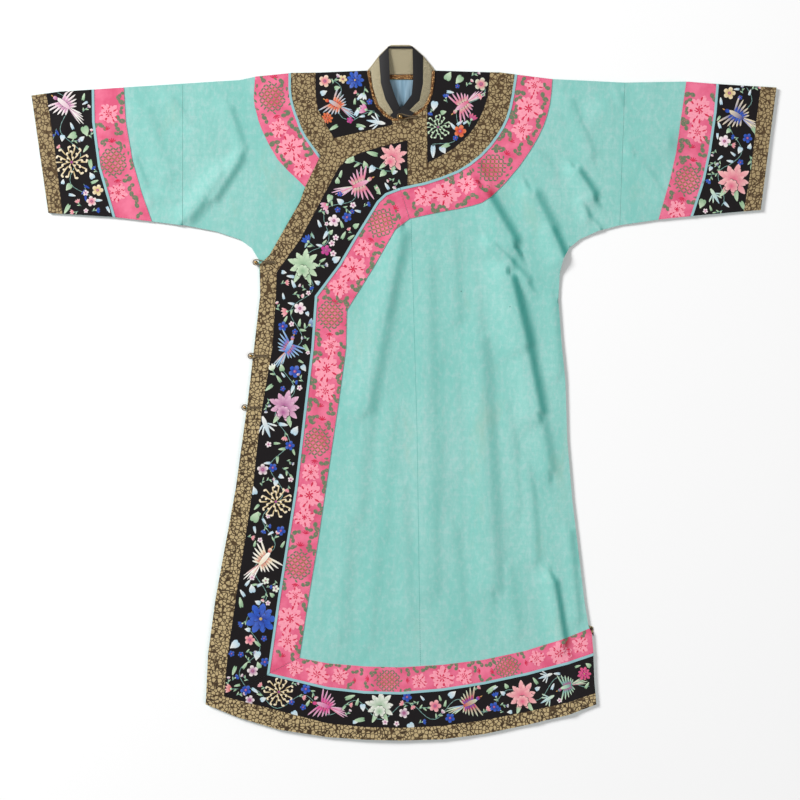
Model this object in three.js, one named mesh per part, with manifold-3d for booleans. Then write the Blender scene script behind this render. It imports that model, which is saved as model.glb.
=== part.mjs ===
// A Chinese lady's silk robe, laid out on its back with its sleeves spread and its front up.
// Millimetres, +Z up, +Y to the collar, +X to the wearer's left; the floor is at z = 0.
// The origin lies on the floor below the middle of the robe's box.
import * as THREE from "three";
import Module from "manifold-3d";

const wasm = await Module();
wasm.setup();

// Thicknesses and clearances.
const cloth = 1.6; // damask with its lining
const trim = 0.9; // a band, ribbon or binding with its backing
const gap = 0.3; // between pieces sewn edge to edge or laid on each other
const foldWall = 3; // cloth bunched inside a folded edge
const lap = cloth + gap; // what one more layer of cloth adds
const past = 40; // how far a cutting line runs past the cloth it cuts
const latticeStep = 42; // spacing of the points that shape a panel

// Widths of the trims.
const pipingWidth = 5;
const centreBinding = { left: 7.5, right: 46 };

// Turns a table of x, y rows into points.
function line(...rows) {
  return rows.map(([x, y]) => new THREE.Vector2(x, y));
}

// A smooth line through a few points.
function curve(points) {
  return new THREE.SplineCurve(points).getPoints(2 * (points.length - 1));
}

// Joins lines end to end; a shared end point is kept once.
function join(...parts) {
  return parts.flat().filter((point, i, all) => i === 0 || point.distanceTo(all[i - 1]) > 0.01);
}

// Moves a line sideways, to the left of its run, with mitred corners.
function aside(points, distance, closed = false) {
  return points.map((point, i) => {
    const before = points[i - 1] ?? (closed ? points.at(-1) : null);
    const after = points[i + 1] ?? (closed ? points[0] : null);
    const arriving = before ? point.clone().sub(before).normalize() : after.clone().sub(point).normalize();
    const leaving = after ? after.clone().sub(point).normalize() : arriving.clone();
    const run = arriving.clone().add(leaving).normalize();
    const stretch = distance / Math.max(run.dot(leaving), 0.4);
    return new THREE.Vector2(point.x - run.y * stretch, point.y + run.x * stretch);
  });
}

// Takes the room of an oblique joint off both ends of a line.
function shortened(points) {
  const ends = [points[0], points.at(-1)];
  const next = [points[1], points.at(-2)];
  const [first, last] = ends.map((end, i) => {
    return end.clone().add(next[i].clone().sub(end).setLength(2 * gap));
  });
  return [first, ...points.slice(1, -1), last];
}

// Lengthens a line past both of its ends.
function lengthened(points) {
  const first = points[0].clone().add(points[0].clone().sub(points[1]).setLength(past));
  const last = points.at(-1).clone().add(points.at(-1).clone().sub(points.at(-2)).setLength(past));
  return [first, ...points, last];
}

// The outline of a strip of cloth between two lines that run the same way, the second on the left.
function strip(right, left) {
  const near = aside(shortened(right), gap / 2);
  const far = aside(shortened(left), -gap / 2);
  return [...near, ...far.reverse()];
}

// ---- Lines that the cutter draws: the edges of the panels ----

const neck = curve(line(
  [-74, 643], [-68, 609], [-56, 571], [-32, 547], [-14, 542], [12, 548], [42, 565], [58, 599], [62, 643],
));
const backNeck = 636; // y of the back panel's neckline
const centreBack = -6; // x of the centre back seam
const centreSeam = line([9, 547], [10, 417], [14, 351], [26, -75], [34, -694]);

const shoulder = {
  left: line([62, 643], [192, 639], [232, 634], [296, 626], [352, 623], [441, 619]),
  right: line([-74, 643], [-168, 639], [-226, 638], [-296, 631], [-328, 624], [-442, 617]),
};
const sleeveTop = {
  left: line([441, 619], [564, 621], [628, 616], [744.4, 609]),
  right: line([-442, 617], [-560, 609], [-688, 601], [-744.4, 593]),
};
const sleeveFoot = {
  left: line([431, 334.5], [510, 346], [598, 355], [713, 365]),
  right: line([-442, 334], [-504, 342], [-582, 351], [-710.8, 359]),
};
const underarm = {
  left: line([431, 334.5], [388, 323], [352, 307], [330, 289], [318, 267]),
  right: line([-442, 334], [-376, 321], [-328, 305], [-304, 287], [-291, 265]),
};
const leftSide = line(
  [318, 267], [311, 240], [308, 185], [314, 105], [322, 25], [326, -95], [336, -215], [350, -335],
  [360, -415], [368, -465],
);
const leftSlit = line([368, -465], [375, -481], [378, -517], [380, -573], [384, -623]);

// The closing side of the overlap, section by section down the robe: where each trim ends.
const side = [
  { y: 193, edge: -287, binding: -256, piping: -178, ribbon: -114 },
  { y: 90, edge: -299, binding: -263, piping: -185, ribbon: -116 },
  { y: -20, edge: -312, binding: -282, piping: -197, ribbon: -131 },
  { y: -105, edge: -324, binding: -293, piping: -207, ribbon: -144 },
  { y: -193, edge: -336, binding: -302, piping: -218, ribbon: -157 },
  { y: -310, edge: -357, binding: -320, piping: -236, ribbon: -174 },
  { y: -411, edge: -376, binding: -336, piping: -252, ribbon: -191 },
  { y: -522, edge: -391, binding: -352, piping: -268, ribbon: -208 },
];
// The hem, section by section across the robe: where each trim ends.
const hem = [
  { x: -152, ribbon: -541, piping: -593, binding: -661, edge: -688 },
  { x: -80, ribbon: -547, piping: -601, binding: -668, edge: -693 },
  { x: -8, ribbon: -549, piping: -603, binding: -670, edge: -694.8 },
  { x: 76, ribbon: -544, piping: -596, binding: -666, edge: -692.5 },
  { x: 160, ribbon: -534, piping: -583, binding: -655, edge: -682 },
  { x: 244, ribbon: -516, piping: -565, binding: -638, edge: -664 },
  { x: 328, ribbon: -489, piping: -543, binding: -619, edge: -644 },
  { x: 384, ribbon: -466, piping: -524, binding: -600, edge: -623 },
];
// The mitre at the hem's corner: each trim's corner point.
const mitre = {
  edge: line([-396, -623]),
  binding: line([-360, -607]),
  piping: line([-274, -564]),
  ribbon: line([-209, -530]),
};
// The lapel, from the throat to the corner under the arm: each trim's line.
const lapel = {
  edge: line(
    [-10, 537], [-138, 508], [-168, 470], [-197, 411], [-208, 380], [-268, 275], [-288, 255],
  ),
  binding: line(
    [7.5, 504], [-46, 491], [-84, 480], [-113, 467], [-132, 447], [-165, 386], [-208, 305], [-254, 241],
  ),
  piping: line([-8, 409], [-37, 398], [-54, 382], [-102, 305], [-130, 257], [-178, 193]),
  ribbon: line([11, 347], [-18, 325], [-63, 247], [-114, 165]),
};

function sideLine(column) {
  return side.map((row) => new THREE.Vector2(row[column], row.y));
}
function hemLine(column) {
  return hem.map((row) => new THREE.Vector2(row.x, row[column]));
}

// Rings of the yoke over each shoulder, from the shoulder line down to the centre or the lapel.
const ring = {
  leftBinding: curve(line([173, 655], [167, 590], [152, 549], [133, 519], [99, 487], [46.2, 458])),
  leftPiping: curve(line(
    [224, 655], [215, 593], [204, 549], [184, 513], [152, 475], [106, 443], [46, 421], [28, 417], [-8, 409],
  )),
  leftRibbon: curve(line(
    [298, 655], [294, 598], [286, 555], [268, 511], [230, 452], [174, 391], [136, 373], [74, 361], [11, 347],
  )),
  rightBinding: curve(line([-177, 655], [-177, 601], [-173, 569], [-163, 549], [-140, 508], [-110, 470])),
  rightPiping: curve(line([-225, 655], [-226, 607], [-221, 575], [-210, 543], [-196, 512], [-150, 450])),
  rightRibbon: curve(line(
    [-295, 655], [-300, 589], [-294, 557], [-284, 525], [-252, 465], [-208, 421], [-160, 370],
  )),
};

// Cuffs, from the shoulder side down: the lines between their trims.
const cuff = {
  left: {
    binding: line([713, 650], [713, 610], [704, 543], [694, 451], [679, 362], [672, 320]),
    piping: line([629, 650], [629, 615], [624, 558], [613, 481], [600, 421], [577, 351], [565, 320]),
    ribbon: line([564, 650], [564, 621], [557, 573], [544, 481], [532, 427], [509, 347], [500, 320]),
  },
  right: {
    binding: line([-716, 640], [-715, 599], [-700, 503], [-683, 361], [-678, 320]),
    piping: line([-627, 640], [-624, 605], [-623, 541], [-611, 451], [-582, 351], [-572, 320]),
    ribbon: line([-561, 640], [-560, 609], [-556, 541], [-543, 465], [-525, 401], [-504, 342], [-497, 320]),
  },
};

// ---- The form of the laid cloth ----

// Its largest folds: each one's crest from end to end, its half width and its height.
const folds = [
  { x0: 170, y0: 391, x1: 216, y1: 303, width: 22, height: 6 },
  { x0: 180, y0: 295, x1: 244, y1: 225, width: 20, height: 5 },
  { x0: 226, y0: 217, x1: 262, y1: 90, width: 26, height: 8 },
  { x0: 262, y0: 90, x1: 300, y1: -110, width: 24, height: 6 },
  { x0: -8, y0: 310, x1: -70, y1: -10, width: 30, height: 6 },
  { x0: -70, y0: -10, x1: -92, y1: -240, width: 26, height: 4 },
  { x0: 44, y0: 250, x1: 50, y1: -420, width: 24, height: 4 },
  { x0: 150, y0: 120, x1: 176, y1: -380, width: 28, height: 5 },
  { x0: 298, y0: -380, x1: 318, y1: -500, width: 22, height: 5 },
  { x0: 346, y0: 440, x1: 372, y1: 374, width: 24, height: 7 },
  { x0: 400, y0: 560, x1: 520, y1: 500, width: 26, height: 5 },
  { x0: -430, y0: 360, x1: -360, y1: 430, width: 26, height: 6 },
  { x0: -372, y0: 390, x1: -330, y1: 465, width: 22, height: 5 },
  { x0: -520, y0: 560, x1: -470, y1: 440, width: 26, height: 4 },
];

// How far a fold lifts the cloth at a point: a soft ridge that fades along and across its crest.
function lift(x, y) {
  const point = new THREE.Vector3(x, y, 0);
  const nearest = new THREE.Vector3();
  let height = 0;
  for (const fold of folds) {
    const crest = new THREE.Line3(
      new THREE.Vector3(fold.x0, fold.y0, 0),
      new THREE.Vector3(fold.x1, fold.y1, 0),
    );
    crest.closestPointToPoint(point, true, nearest);
    height += fold.height * Math.exp(-((nearest.distanceTo(point) / fold.width) ** 2));
  }
  return height;
}

// 1 where the left front lies on the underlap, 0 where it lies on the back.
function overlapped(x, y) {
  const across = 1 - THREE.MathUtils.smoothstep(x, 40, 130);
  const along = 1 - THREE.MathUtils.smoothstep(y, 575, 625);
  return across * along;
}

// Heights of the layers above the floor.
const floor = () => 0;
const backTop = () => cloth;
function frontUnder(x, y) {
  return lap + lap * overlapped(x, y) + lift(x, y);
}
function rightUnder(x, y) {
  return lap + (x < -300 ? lift(x, y) : 0);
}
function above(surface, height) {
  return (x, y) => surface(x, y) + height;
}

// A closed mesh as a solid that can be cut and joined.
function solid(points, faces) {
  return new wasm.Manifold(new wasm.Mesh({
    numProp: 3,
    vertProperties: new Float32Array(points),
    triVerts: new Uint32Array(faces),
  }));
}

// Even lattice lines that reach past a span.
function latticeLines(low, high) {
  const first = Math.floor((low - 1) / latticeStep);
  const last = Math.ceil((high + 1) / latticeStep);
  return Array.from({ length: last - first + 1 }, (_, i) => (first + i) * latticeStep);
}

// The upright prism over an outline.
function prism(outline, low = -past, high = past) {
  const shape = new THREE.Shape(outline);
  const geometry = new THREE.ExtrudeGeometry(shape, { depth: high - low, bevelEnabled: false });
  geometry.translate(0, 0, low);
  return fromGeometry(geometry);
}

// A three.js geometry as a solid, its shared corners merged.
function fromGeometry(geometry) {
  const position = geometry.getAttribute("position");
  const index = geometry.index?.array ?? Array.from({ length: position.count }, (_, i) => i);
  const places = new Map();
  const points = [];
  const faces = Array.from(index, (corner) => {
    const place = [position.getX(corner), position.getY(corner), position.getZ(corner)];
    const key = place.map((value) => Math.round(value * 1e4)).join(" ");
    if (!places.has(key)) {
      places.set(key, places.size);
      points.push(...place);
    }
    return places.get(key);
  });
  return solid(points, faces);
}

// A sheet of cloth over an outline, between a lower and an upper surface.
function sheet(outline, lower, upper) {
  const box = new THREE.Box2().setFromPoints(outline);
  const xs = latticeLines(box.min.x, box.max.x);
  const ys = latticeLines(box.min.y, box.max.y).reverse();
  const plane = new THREE.PlaneGeometry(1, 1, xs.length - 1, ys.length - 1);
  const top = ys.flatMap((y) => xs.flatMap((x) => [x, y, upper(x, y)]));
  const bottom = ys.flatMap((y) => xs.flatMap((x) => [x, y, lower(x, y)]));
  const count = xs.length * ys.length;
  const skin = Array.from(plane.index.array);
  const faces = [...skin, ...skin.toReversed().map((corner) => corner + count)];
  const row = xs.length;
  const rim = [
    ...xs.map((_, i) => count - row + i),
    ...ys.map((_, i) => count - 1 - i * row).slice(1),
    ...xs.map((_, i) => row - 1 - i).slice(1),
    ...ys.map((_, i) => i * row).slice(1),
  ];
  for (let i = 0; i < rim.length - 1; i += 1) {
    const [a, b] = [rim[i], rim[i + 1]];
    faces.push(a + count, b + count, b, a + count, b, a);
  }
  return solid([...top, ...bottom], faces).intersect(prism(outline));
}

// A trim laid on a surface, kept to the panel that carries it and clear of what lies over it.
function laid(outline, surface, panel, over = []) {
  let piece = sheet(outline, above(surface, gap), above(surface, gap + trim)).intersect(prism(panel));
  for (const other of over) {
    piece = piece.subtract(prism(aside(other, -2 * gap, true)));
  }
  return piece;
}

// ---- Materials ----

function finish(color, roughness, metalness = 0) {
  return new THREE.MeshStandardMaterial({ color, roughness, metalness });
}
const silk = finish(0x82cfc1, 0.5);
const satin = finish(0x1e1a19, 0.45);
const brocade = finish(0xa58a5c, 0.6);
const ribbonSilk = finish(0xeb6290, 0.55);
const pipingSilk = finish(0x8fd2d4, 0.5);
const liningSilk = finish(0x88a6be, 0.6);
const twill = finish(0xa59b7c, 0.7);
const gilt = finish(0xb58a4a, 0.35, 0.9);
const cordSilk = finish(0x9a7438, 0.6);

const robe = new THREE.Group();

// Adds a finished solid to the robe as a named mesh.
function add(name, piece, material) {
  const made = piece.getMesh();
  const geometry = new THREE.BufferGeometry();
  geometry.setAttribute("position", new THREE.BufferAttribute(made.vertProperties, 3));
  geometry.setIndex(new THREE.BufferAttribute(made.triVerts, 1));
  geometry.computeVertexNormals();
  const mesh = new THREE.Mesh(geometry, material);
  mesh.name = name;
  robe.add(mesh);
}

// ---- Panels of silk ----

const frontLeftUpper = above(frontUnder, cloth);
const frontRightUpper = above(rightUnder, cloth);
const seam = gap / 2;

// The inner hollow of a folded panel: inside its folded edges, open past all its other edges.
const hollowLeft = [
  ...line([-200, -800], [600, -800], [600, -466]),
  ...aside(join(underarm.left, leftSide), -foldWall).reverse(),
  ...line([480, 340], [480, 615]),
  ...aside(shoulder.left, -foldWall).reverse(),
  ...line([-200, 640]),
];
const hollowRight = [
  ...line([200, 640]),
  ...aside(shoulder.right, foldWall),
  ...line([-480, 613], [-480, 337]),
  ...aside(join(underarm.right, sideLine("edge").slice(0, -2)), foldWall),
  ...line([-600, -466], [-600, -800], [200, -800]),
];

const leftFront = [
  ...aside(centreSeam, seam),
  ...hemLine("edge").slice(3),
  ...leftSlit.toReversed().slice(1),
  ...leftSide.toReversed().slice(1),
  ...underarm.left.toReversed().slice(1),
  ...shoulder.left.toReversed(),
  ...neck.toReversed().slice(1, 7),
];
const leftBack = [
  ...line([centreBack + seam, -690]),
  ...hemLine("edge").slice(3),
  ...leftSlit.toReversed().slice(1),
  ...leftSide.toReversed().slice(1),
  ...underarm.left.toReversed().slice(1),
  ...shoulder.left.toReversed().slice(0, -1),
  ...line([63, 643], [63, backNeck], [centreBack + seam, backNeck]),
];
add(
  "body_left",
  sheet(leftFront, floor, frontLeftUpper)
    .subtract(sheet(hollowLeft, backTop, frontUnder))
    .add(prism(leftBack, 0, cloth)),
  silk,
);

const rightEdge = aside(join(underarm.right, sideLine("edge"), mitre.edge), 1);
const rightFront = [
  ...shoulder.right,
  ...rightEdge,
  ...line([-330, -640], [-14, -675]),
  ...neck.slice(0, 9).reverse(),
];
const rightBack = [
  ...line([-75, backNeck], [-75, 643]),
  ...shoulder.right.slice(1),
  ...rightEdge,
  ...line([-330, -647], [-250, -671]),
  ...hemLine("edge").slice(0, 3),
  ...line([centreBack - seam, -690], [centreBack - seam, backNeck]),
];
add(
  "body_right",
  sheet(rightFront, floor, frontRightUpper)
    .subtract(sheet(hollowRight, backTop, rightUnder))
    .add(prism(rightBack, 0, cloth)),
  silk,
);

const overlap = [
  ...aside(centreSeam, -seam).reverse(),
  ...lapel.edge,
  ...sideLine("edge"),
  ...mitre.edge,
  ...line([-330, -649], [-250, -673]),
  ...hemLine("edge").slice(0, 3),
];
add("front_overlap", sheet(overlap, frontUnder, frontLeftUpper), silk);

// Sleeve extensions: tubes folded at the top and the foot, open at both ends.
function sleeve(top, foot, under) {
  const outline = [...shortened(foot), ...shortened(top).reverse()];
  const turned = Math.sign(top[1].x - top[0].x);
  const hollow = [
    ...lengthened(aside(foot, turned * foldWall)),
    ...lengthened(aside(top, -turned * foldWall)).reverse(),
  ];
  const piece = sheet(outline, floor, above(under, cloth)).subtract(sheet(hollow, backTop, under));
  return { outline, piece };
}
const leftSleeve = sleeve(sleeveTop.left, sleeveFoot.left, frontUnder);
const rightSleeve = sleeve(sleeveTop.right, sleeveFoot.right, rightUnder);
add("sleeve_left", leftSleeve.piece, silk);
add("sleeve_right", rightSleeve.piece, silk);

// ---- Trims of the closing edge: lapel, side and hem ----


const wholeFront = [
  ...line([9, 547]),
  ...lapel.edge,
  ...sideLine("edge"),
  ...mitre.edge,
  ...line([-330, -649], [-250, -673]),
  ...hemLine("edge"),
  ...leftSlit.toReversed().slice(1),
  ...leftSide.toReversed().slice(1),
  ...underarm.left.toReversed().slice(1),
  ...shoulder.left.toReversed(),
  ...neck.toReversed().slice(1, 7),
];

// A line down the lapel and the side to the mitre, and a line along the hem from the mitre.
function closingLine(column) {
  return join(lapel[column], sideLine(column), mitre[column]);
}
function hemRun(column) {
  return lengthened(join(mitre[column], hemLine(column))).slice(1);
}
function addFrontTrim(name, outline, material) {
  add(name, laid(outline, frontLeftUpper, wholeFront), material);
}

const closing = {
  edge: join(line([7.5, 541]), closingLine("edge")),
  binding: closingLine("binding"),
  piping: closingLine("piping"),
  ribbon: closingLine("ribbon"),
};
const run = {
  edge: join(mitre.edge, line([-330, -649], [-250, -673]), hemLine("edge"), line([420, -614])),
  binding: hemRun("binding"),
  piping: hemRun("piping"),
  ribbon: hemRun("ribbon"),
};
const pipingPath = aside(join(closing.piping, run.piping.slice(1)), pipingWidth);
closing.pipingInner = pipingPath.slice(0, closing.piping.length);
run.pipingInner = pipingPath.slice(closing.piping.length - 1);
addFrontTrim("front_binding", strip(closing.edge, closing.binding), brocade);
addFrontTrim("front_piping", strip(closing.piping, closing.pipingInner), pipingSilk);
addFrontTrim("front_ribbon", strip(closing.pipingInner, closing.ribbon), ribbonSilk);
addFrontTrim("hem_binding", strip(run.edge, run.binding), brocade);
addFrontTrim("hem_band", strip(run.binding, run.piping), satin);
addFrontTrim("hem_piping", strip(run.piping, run.pipingInner), pipingSilk);
addFrontTrim("hem_ribbon", strip(run.pipingInner, run.ribbon), ribbonSilk);
const frontBand = [
  ...aside(closing.binding, gap / 2).slice(1),
  ...aside(closing.piping, -gap / 2).reverse(),
  ...line([centreBinding.left - gap, 413], [centreBinding.left - gap, 503.7]),
];
addFrontTrim("front_band", frontBand, satin);

// ---- Yoke: rings over the shoulders, and the binding under the throat ----

const centreStrip = line(
  [centreBinding.left, 413], [centreBinding.right, 421], [centreBinding.right, 600], [centreBinding.left, 600],
);
add("centre_binding", laid(centreStrip, frontLeftUpper, wholeFront), brocade);
const leftBand = [
  ...line([centreBinding.right + gap, 600], [centreBinding.right + gap, 458]),
  ...aside(ring.leftBinding, -gap / 2).reverse().slice(1),
  ...line([centreBinding.right + gap, 655]),
];
add("yoke_left_band", laid(leftBand, frontLeftUpper, leftFront), satin);
const leftBinding = [
  ...aside(ring.leftBinding, gap / 2),
  ...line([centreBinding.right + gap, 421]),
  ...aside(ring.leftPiping.slice(0, 12), -gap / 2).reverse(),
];
add("yoke_left_binding", laid(leftBinding, frontLeftUpper, leftFront), brocade);
addFrontTrim("yoke_left_piping", strip(ring.leftPiping, aside(ring.leftPiping, pipingWidth)), pipingSilk);
addFrontTrim("yoke_left_ribbon", strip(aside(ring.leftPiping, pipingWidth), ring.leftRibbon), ribbonSilk);

function addRightYoke(name, outline, material) {
  add(name, laid(outline, frontRightUpper, rightFront, [overlap]), material);
}
const rightBand = [...aside(ring.rightBinding, gap / 2), ...line([60, 480], [60, 655])];
addRightYoke("yoke_right_band", rightBand, satin);
addRightYoke("yoke_right_binding", strip(ring.rightPiping, ring.rightBinding), brocade);
const rightPipingOuter = aside(ring.rightPiping, -pipingWidth);
addRightYoke("yoke_right_piping", strip(rightPipingOuter, ring.rightPiping), pipingSilk);
addRightYoke("yoke_right_ribbon", strip(ring.rightRibbon, rightPipingOuter), ribbonSilk);

// ---- Cuffs ----

function addCuff(sideName, lines, sleevePart, surface, outward) {
  const pipingEnd = aside(lines.piping, -outward * pipingWidth);
  const outer = lines.binding.map((point) => new THREE.Vector2(point.x + outward * 200, point.y));
  const pieces = [
    ["binding", outer, lines.binding, brocade],
    ["band", lines.binding, lines.piping, satin],
    ["piping", lines.piping, pipingEnd, pipingSilk],
    ["ribbon", pipingEnd, lines.ribbon, ribbonSilk],
  ];
  for (const [name, outside, inside, material] of pieces) {
    const outline = outward > 0 ? strip(inside, outside) : strip(outside, inside);
    add("cuff_" + sideName + "_" + name, laid(outline, surface, sleevePart), material);
  }
}
addCuff("left", cuff.left, leftSleeve.outline, frontLeftUpper, 1);
addCuff("right", cuff.right, rightSleeve.outline, frontRightUpper, -1);

// ---- Neck: lining, cord, piping and the standing collar, folded flat at its sides ----

const collarWall = 2.2; // stiffened collar
const collarBackTop = 2.4;
const rightLeg = [
  { outer: [-67, 645, 4.4], seam: [-50, 671, 4.4], inner: [-31, 690.5, 5] },
  { outer: [-62, 609, 6.4], seam: [-46, 617, 9.5], inner: [-28, 621, 12.5] },
  { outer: [-50.5, 574, 6.4], seam: [-37, 585, 9.5], inner: [-19, 594, 12.5] },
  { outer: [-28, 552.5, 6.4], seam: [-21, 558, 8.5], inner: [-8, 568, 11] },
];
const leftLeg = [
  { outer: [10, 554, 6.4], seam: [7, 560, 8.5], inner: [-3.5, 569, 11] },
  { outer: [38, 570, 6.4], seam: [31, 583, 9.5], inner: [15, 594, 12.5] },
  { outer: [52.5, 601, 6.4], seam: [38, 617, 9.5], inner: [18, 622, 12.5] },
  { outer: [55.5, 646, 4.4], seam: [38, 672, 4.4], inner: [17, 690.5, 5] },
];
const collarBack = line(
  [-72.4, 636.4], [60.6, 636.4], [61, 645], [56, 652], [38, 673.5], [17, 692], [11, 694.8], [-25, 694.8],
  [-31, 692], [-50, 673.5], [-66, 652], [-72.4, 645],
);
const collarTopEdge = line([-34, 687.5], [20, 687.5], [17, 691.8], [-31, 691.8]);
const lining = line(
  [-58, 624.5], [-60, 607], [-47, 575], [-27, 556], [-10, 551], [8, 556], [34, 574], [48, 602], [50, 624.5],
);
const neckCord = line([-34, 625.5], [22, 625.5], [22, 635.5], [-34, 635.5]);

// A stiff band between two edges given station by station, the second edge on the left of its run.
function band(stations) {
  const last = stations.length - 1;
  const box = new THREE.BoxGeometry(last, 1, 1, last, 1, 1);
  const position = box.getAttribute("position");
  for (let i = 0; i < position.count; i += 1) {
    const station = stations[Math.round(position.getX(i) + last / 2)];
    const [x, y, z] = station[position.getY(i) > 0 ? 1 : 0];
    position.setXYZ(i, x, y, position.getZ(i) > 0 ? z : z - collarWall);
  }
  return fromGeometry(box);
}

// The point a little way from one place towards another.
function towards(from, to, distance) {
  const start = new THREE.Vector3(...from);
  return start.add(new THREE.Vector3(...to).sub(start).setLength(distance)).toArray();
}

function collarFace(leg) {
  return band(leg.map(({ outer, seam: joint }) => [outer, towards(joint, outer, seam)]));
}
function collarEdge(leg) {
  return band(leg.map(({ seam: joint, inner }) => {
    const foot = towards(joint, inner, seam);
    return [[foot[0], foot[1], Math.max(foot[2], 5)], inner];
  }));
}
add("neck_lining", prism(lining, lap, lap + 1), liningSilk);
add("neck_cord", prism(neckCord, lap, lap + 2), cordSilk);
add("collar_piping", prism([...aside(neck, gap), ...aside(neck, 5.2).reverse()], 3.2, 6.8), gilt);
add("collar", prism(collarBack, 0, collarBackTop).add(collarFace(rightLeg)).add(collarFace(leftLeg)), twill);
add(
  "collar_edging",
  prism(collarTopEdge, 2.8, 4.4).add(collarEdge(rightLeg)).add(collarEdge(leftLeg)),
  satin,
);

// ---- Slit and fastenings ----

const slitTab = line([369, -466], [377.5, -468], [379.5, -487], [376.2, -483]);
add("slit_tab", prism(slitTab, 0, 1.5), brocade);

const cordRadius = 1.2;
const fastenings = [
  { name: "throat", x: -7, y: 550, z: 11.6, radius: 4.5, loopEnd: 26, loopMouth: 12, loopHeight: 8.8 },
  { name: "underarm", x: -296, y: 260, z: 4.6, radius: 4, loopEnd: -258, loopMouth: -277, loopHeight: 8.6 },
  { name: "side_upper", x: -305.6, y: 73, z: 4.6, radius: 4, loopEnd: -272, loopMouth: -294, loopHeight: 8.6 },
  { name: "side_lower", x: -318.2, y: -30, z: 4.6, radius: 4, loopEnd: -286, loopMouth: -307, loopHeight: 8.6 },
];

// A cord that comes off the binding, goes round the ball and back beside itself.
function cordLoop({ x, y, z, radius, loopEnd, loopMouth, loopHeight }) {
  const reach = radius + cordRadius + 2 * gap;
  const beside = cordRadius + 0.5;
  const round = [60, 120, 180, 240, 300].map((degrees) => {
    const angle = THREE.MathUtils.degToRad(degrees);
    const height = THREE.MathUtils.lerp(loopHeight, z + 1, (1 - Math.cos(angle)) / 2);
    return new THREE.Vector3(x + reach * Math.cos(angle), y + reach * Math.sin(angle), height);
  });
  const path = new THREE.CatmullRomCurve3([
    new THREE.Vector3(loopEnd, y + beside, loopHeight),
    new THREE.Vector3(loopMouth, y + beside, loopHeight),
    ...round,
    new THREE.Vector3(loopMouth, y - beside, loopHeight),
    new THREE.Vector3(loopEnd, y - beside, loopHeight),
  ]);
  const section = new THREE.Shape(new THREE.Path().absarc(0, 0, cordRadius, 0, 2 * Math.PI).getPoints(3));
  const options = { steps: 24, bevelEnabled: false, extrudePath: path };
  return fromGeometry(new THREE.ExtrudeGeometry(section, options));
}
for (const fastening of fastenings) {
  const ball = new THREE.SphereGeometry(fastening.radius, 8, 6);
  ball.rotateX(Math.PI / 2);
  ball.translate(fastening.x, fastening.y, fastening.z);
  add("button_" + fastening.name, fromGeometry(ball), gilt);
  add("loop_" + fastening.name, cordLoop(fastening), cordSilk);
}

export default robe;
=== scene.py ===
import math
import random

import bmesh
import bpy
import numpy as np
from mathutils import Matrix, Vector, noise


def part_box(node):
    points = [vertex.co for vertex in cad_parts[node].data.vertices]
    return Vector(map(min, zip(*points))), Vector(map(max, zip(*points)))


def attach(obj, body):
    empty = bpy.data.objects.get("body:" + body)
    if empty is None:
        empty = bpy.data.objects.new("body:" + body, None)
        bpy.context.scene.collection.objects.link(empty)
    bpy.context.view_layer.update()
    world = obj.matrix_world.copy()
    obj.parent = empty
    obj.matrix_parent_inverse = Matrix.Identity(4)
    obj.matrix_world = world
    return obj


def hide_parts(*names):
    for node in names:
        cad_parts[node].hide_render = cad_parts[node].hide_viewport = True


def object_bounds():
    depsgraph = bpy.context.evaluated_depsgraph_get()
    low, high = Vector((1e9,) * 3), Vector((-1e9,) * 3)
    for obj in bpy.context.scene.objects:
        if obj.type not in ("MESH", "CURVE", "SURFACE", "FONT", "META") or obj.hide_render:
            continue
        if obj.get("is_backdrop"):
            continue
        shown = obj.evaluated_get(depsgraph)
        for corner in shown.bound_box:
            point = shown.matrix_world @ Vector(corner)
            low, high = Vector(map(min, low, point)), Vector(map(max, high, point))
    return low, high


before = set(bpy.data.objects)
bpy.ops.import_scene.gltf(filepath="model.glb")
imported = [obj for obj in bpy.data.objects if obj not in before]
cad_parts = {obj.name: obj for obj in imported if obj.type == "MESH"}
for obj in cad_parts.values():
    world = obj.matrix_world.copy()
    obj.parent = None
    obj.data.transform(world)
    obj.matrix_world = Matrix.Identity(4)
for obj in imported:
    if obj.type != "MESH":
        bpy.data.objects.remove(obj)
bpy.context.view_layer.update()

# ---------------------------------------------------------------- camera, floor and light
# The robe is looked at from straight above, as it lies on a pale floor under a large soft light.
view_centre = Vector((-0.008, -0.015, 0.0))
view_width = 1.6
lens, sensor = 100.0, 36.0
camera_data = bpy.data.cameras.new("camera")
camera_data.lens = lens
camera_data.sensor_width = sensor
camera_data.clip_end = 50.0
camera = bpy.data.objects.new("camera", camera_data)
camera.location = view_centre + Vector((0.0, 0.0, view_width * lens / sensor))
bpy.context.collection.objects.link(camera)
bpy.context.scene.camera = camera
bpy.context.scene.view_settings.view_transform = "Standard"


def new_object(name, bm):
    """Turns a finished bmesh into an object at the origin."""
    mesh = bpy.data.meshes.new(name)
    bm.to_mesh(mesh)
    bm.free()
    obj = bpy.data.objects.new(name, mesh)
    bpy.context.collection.objects.link(obj)
    return obj


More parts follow.
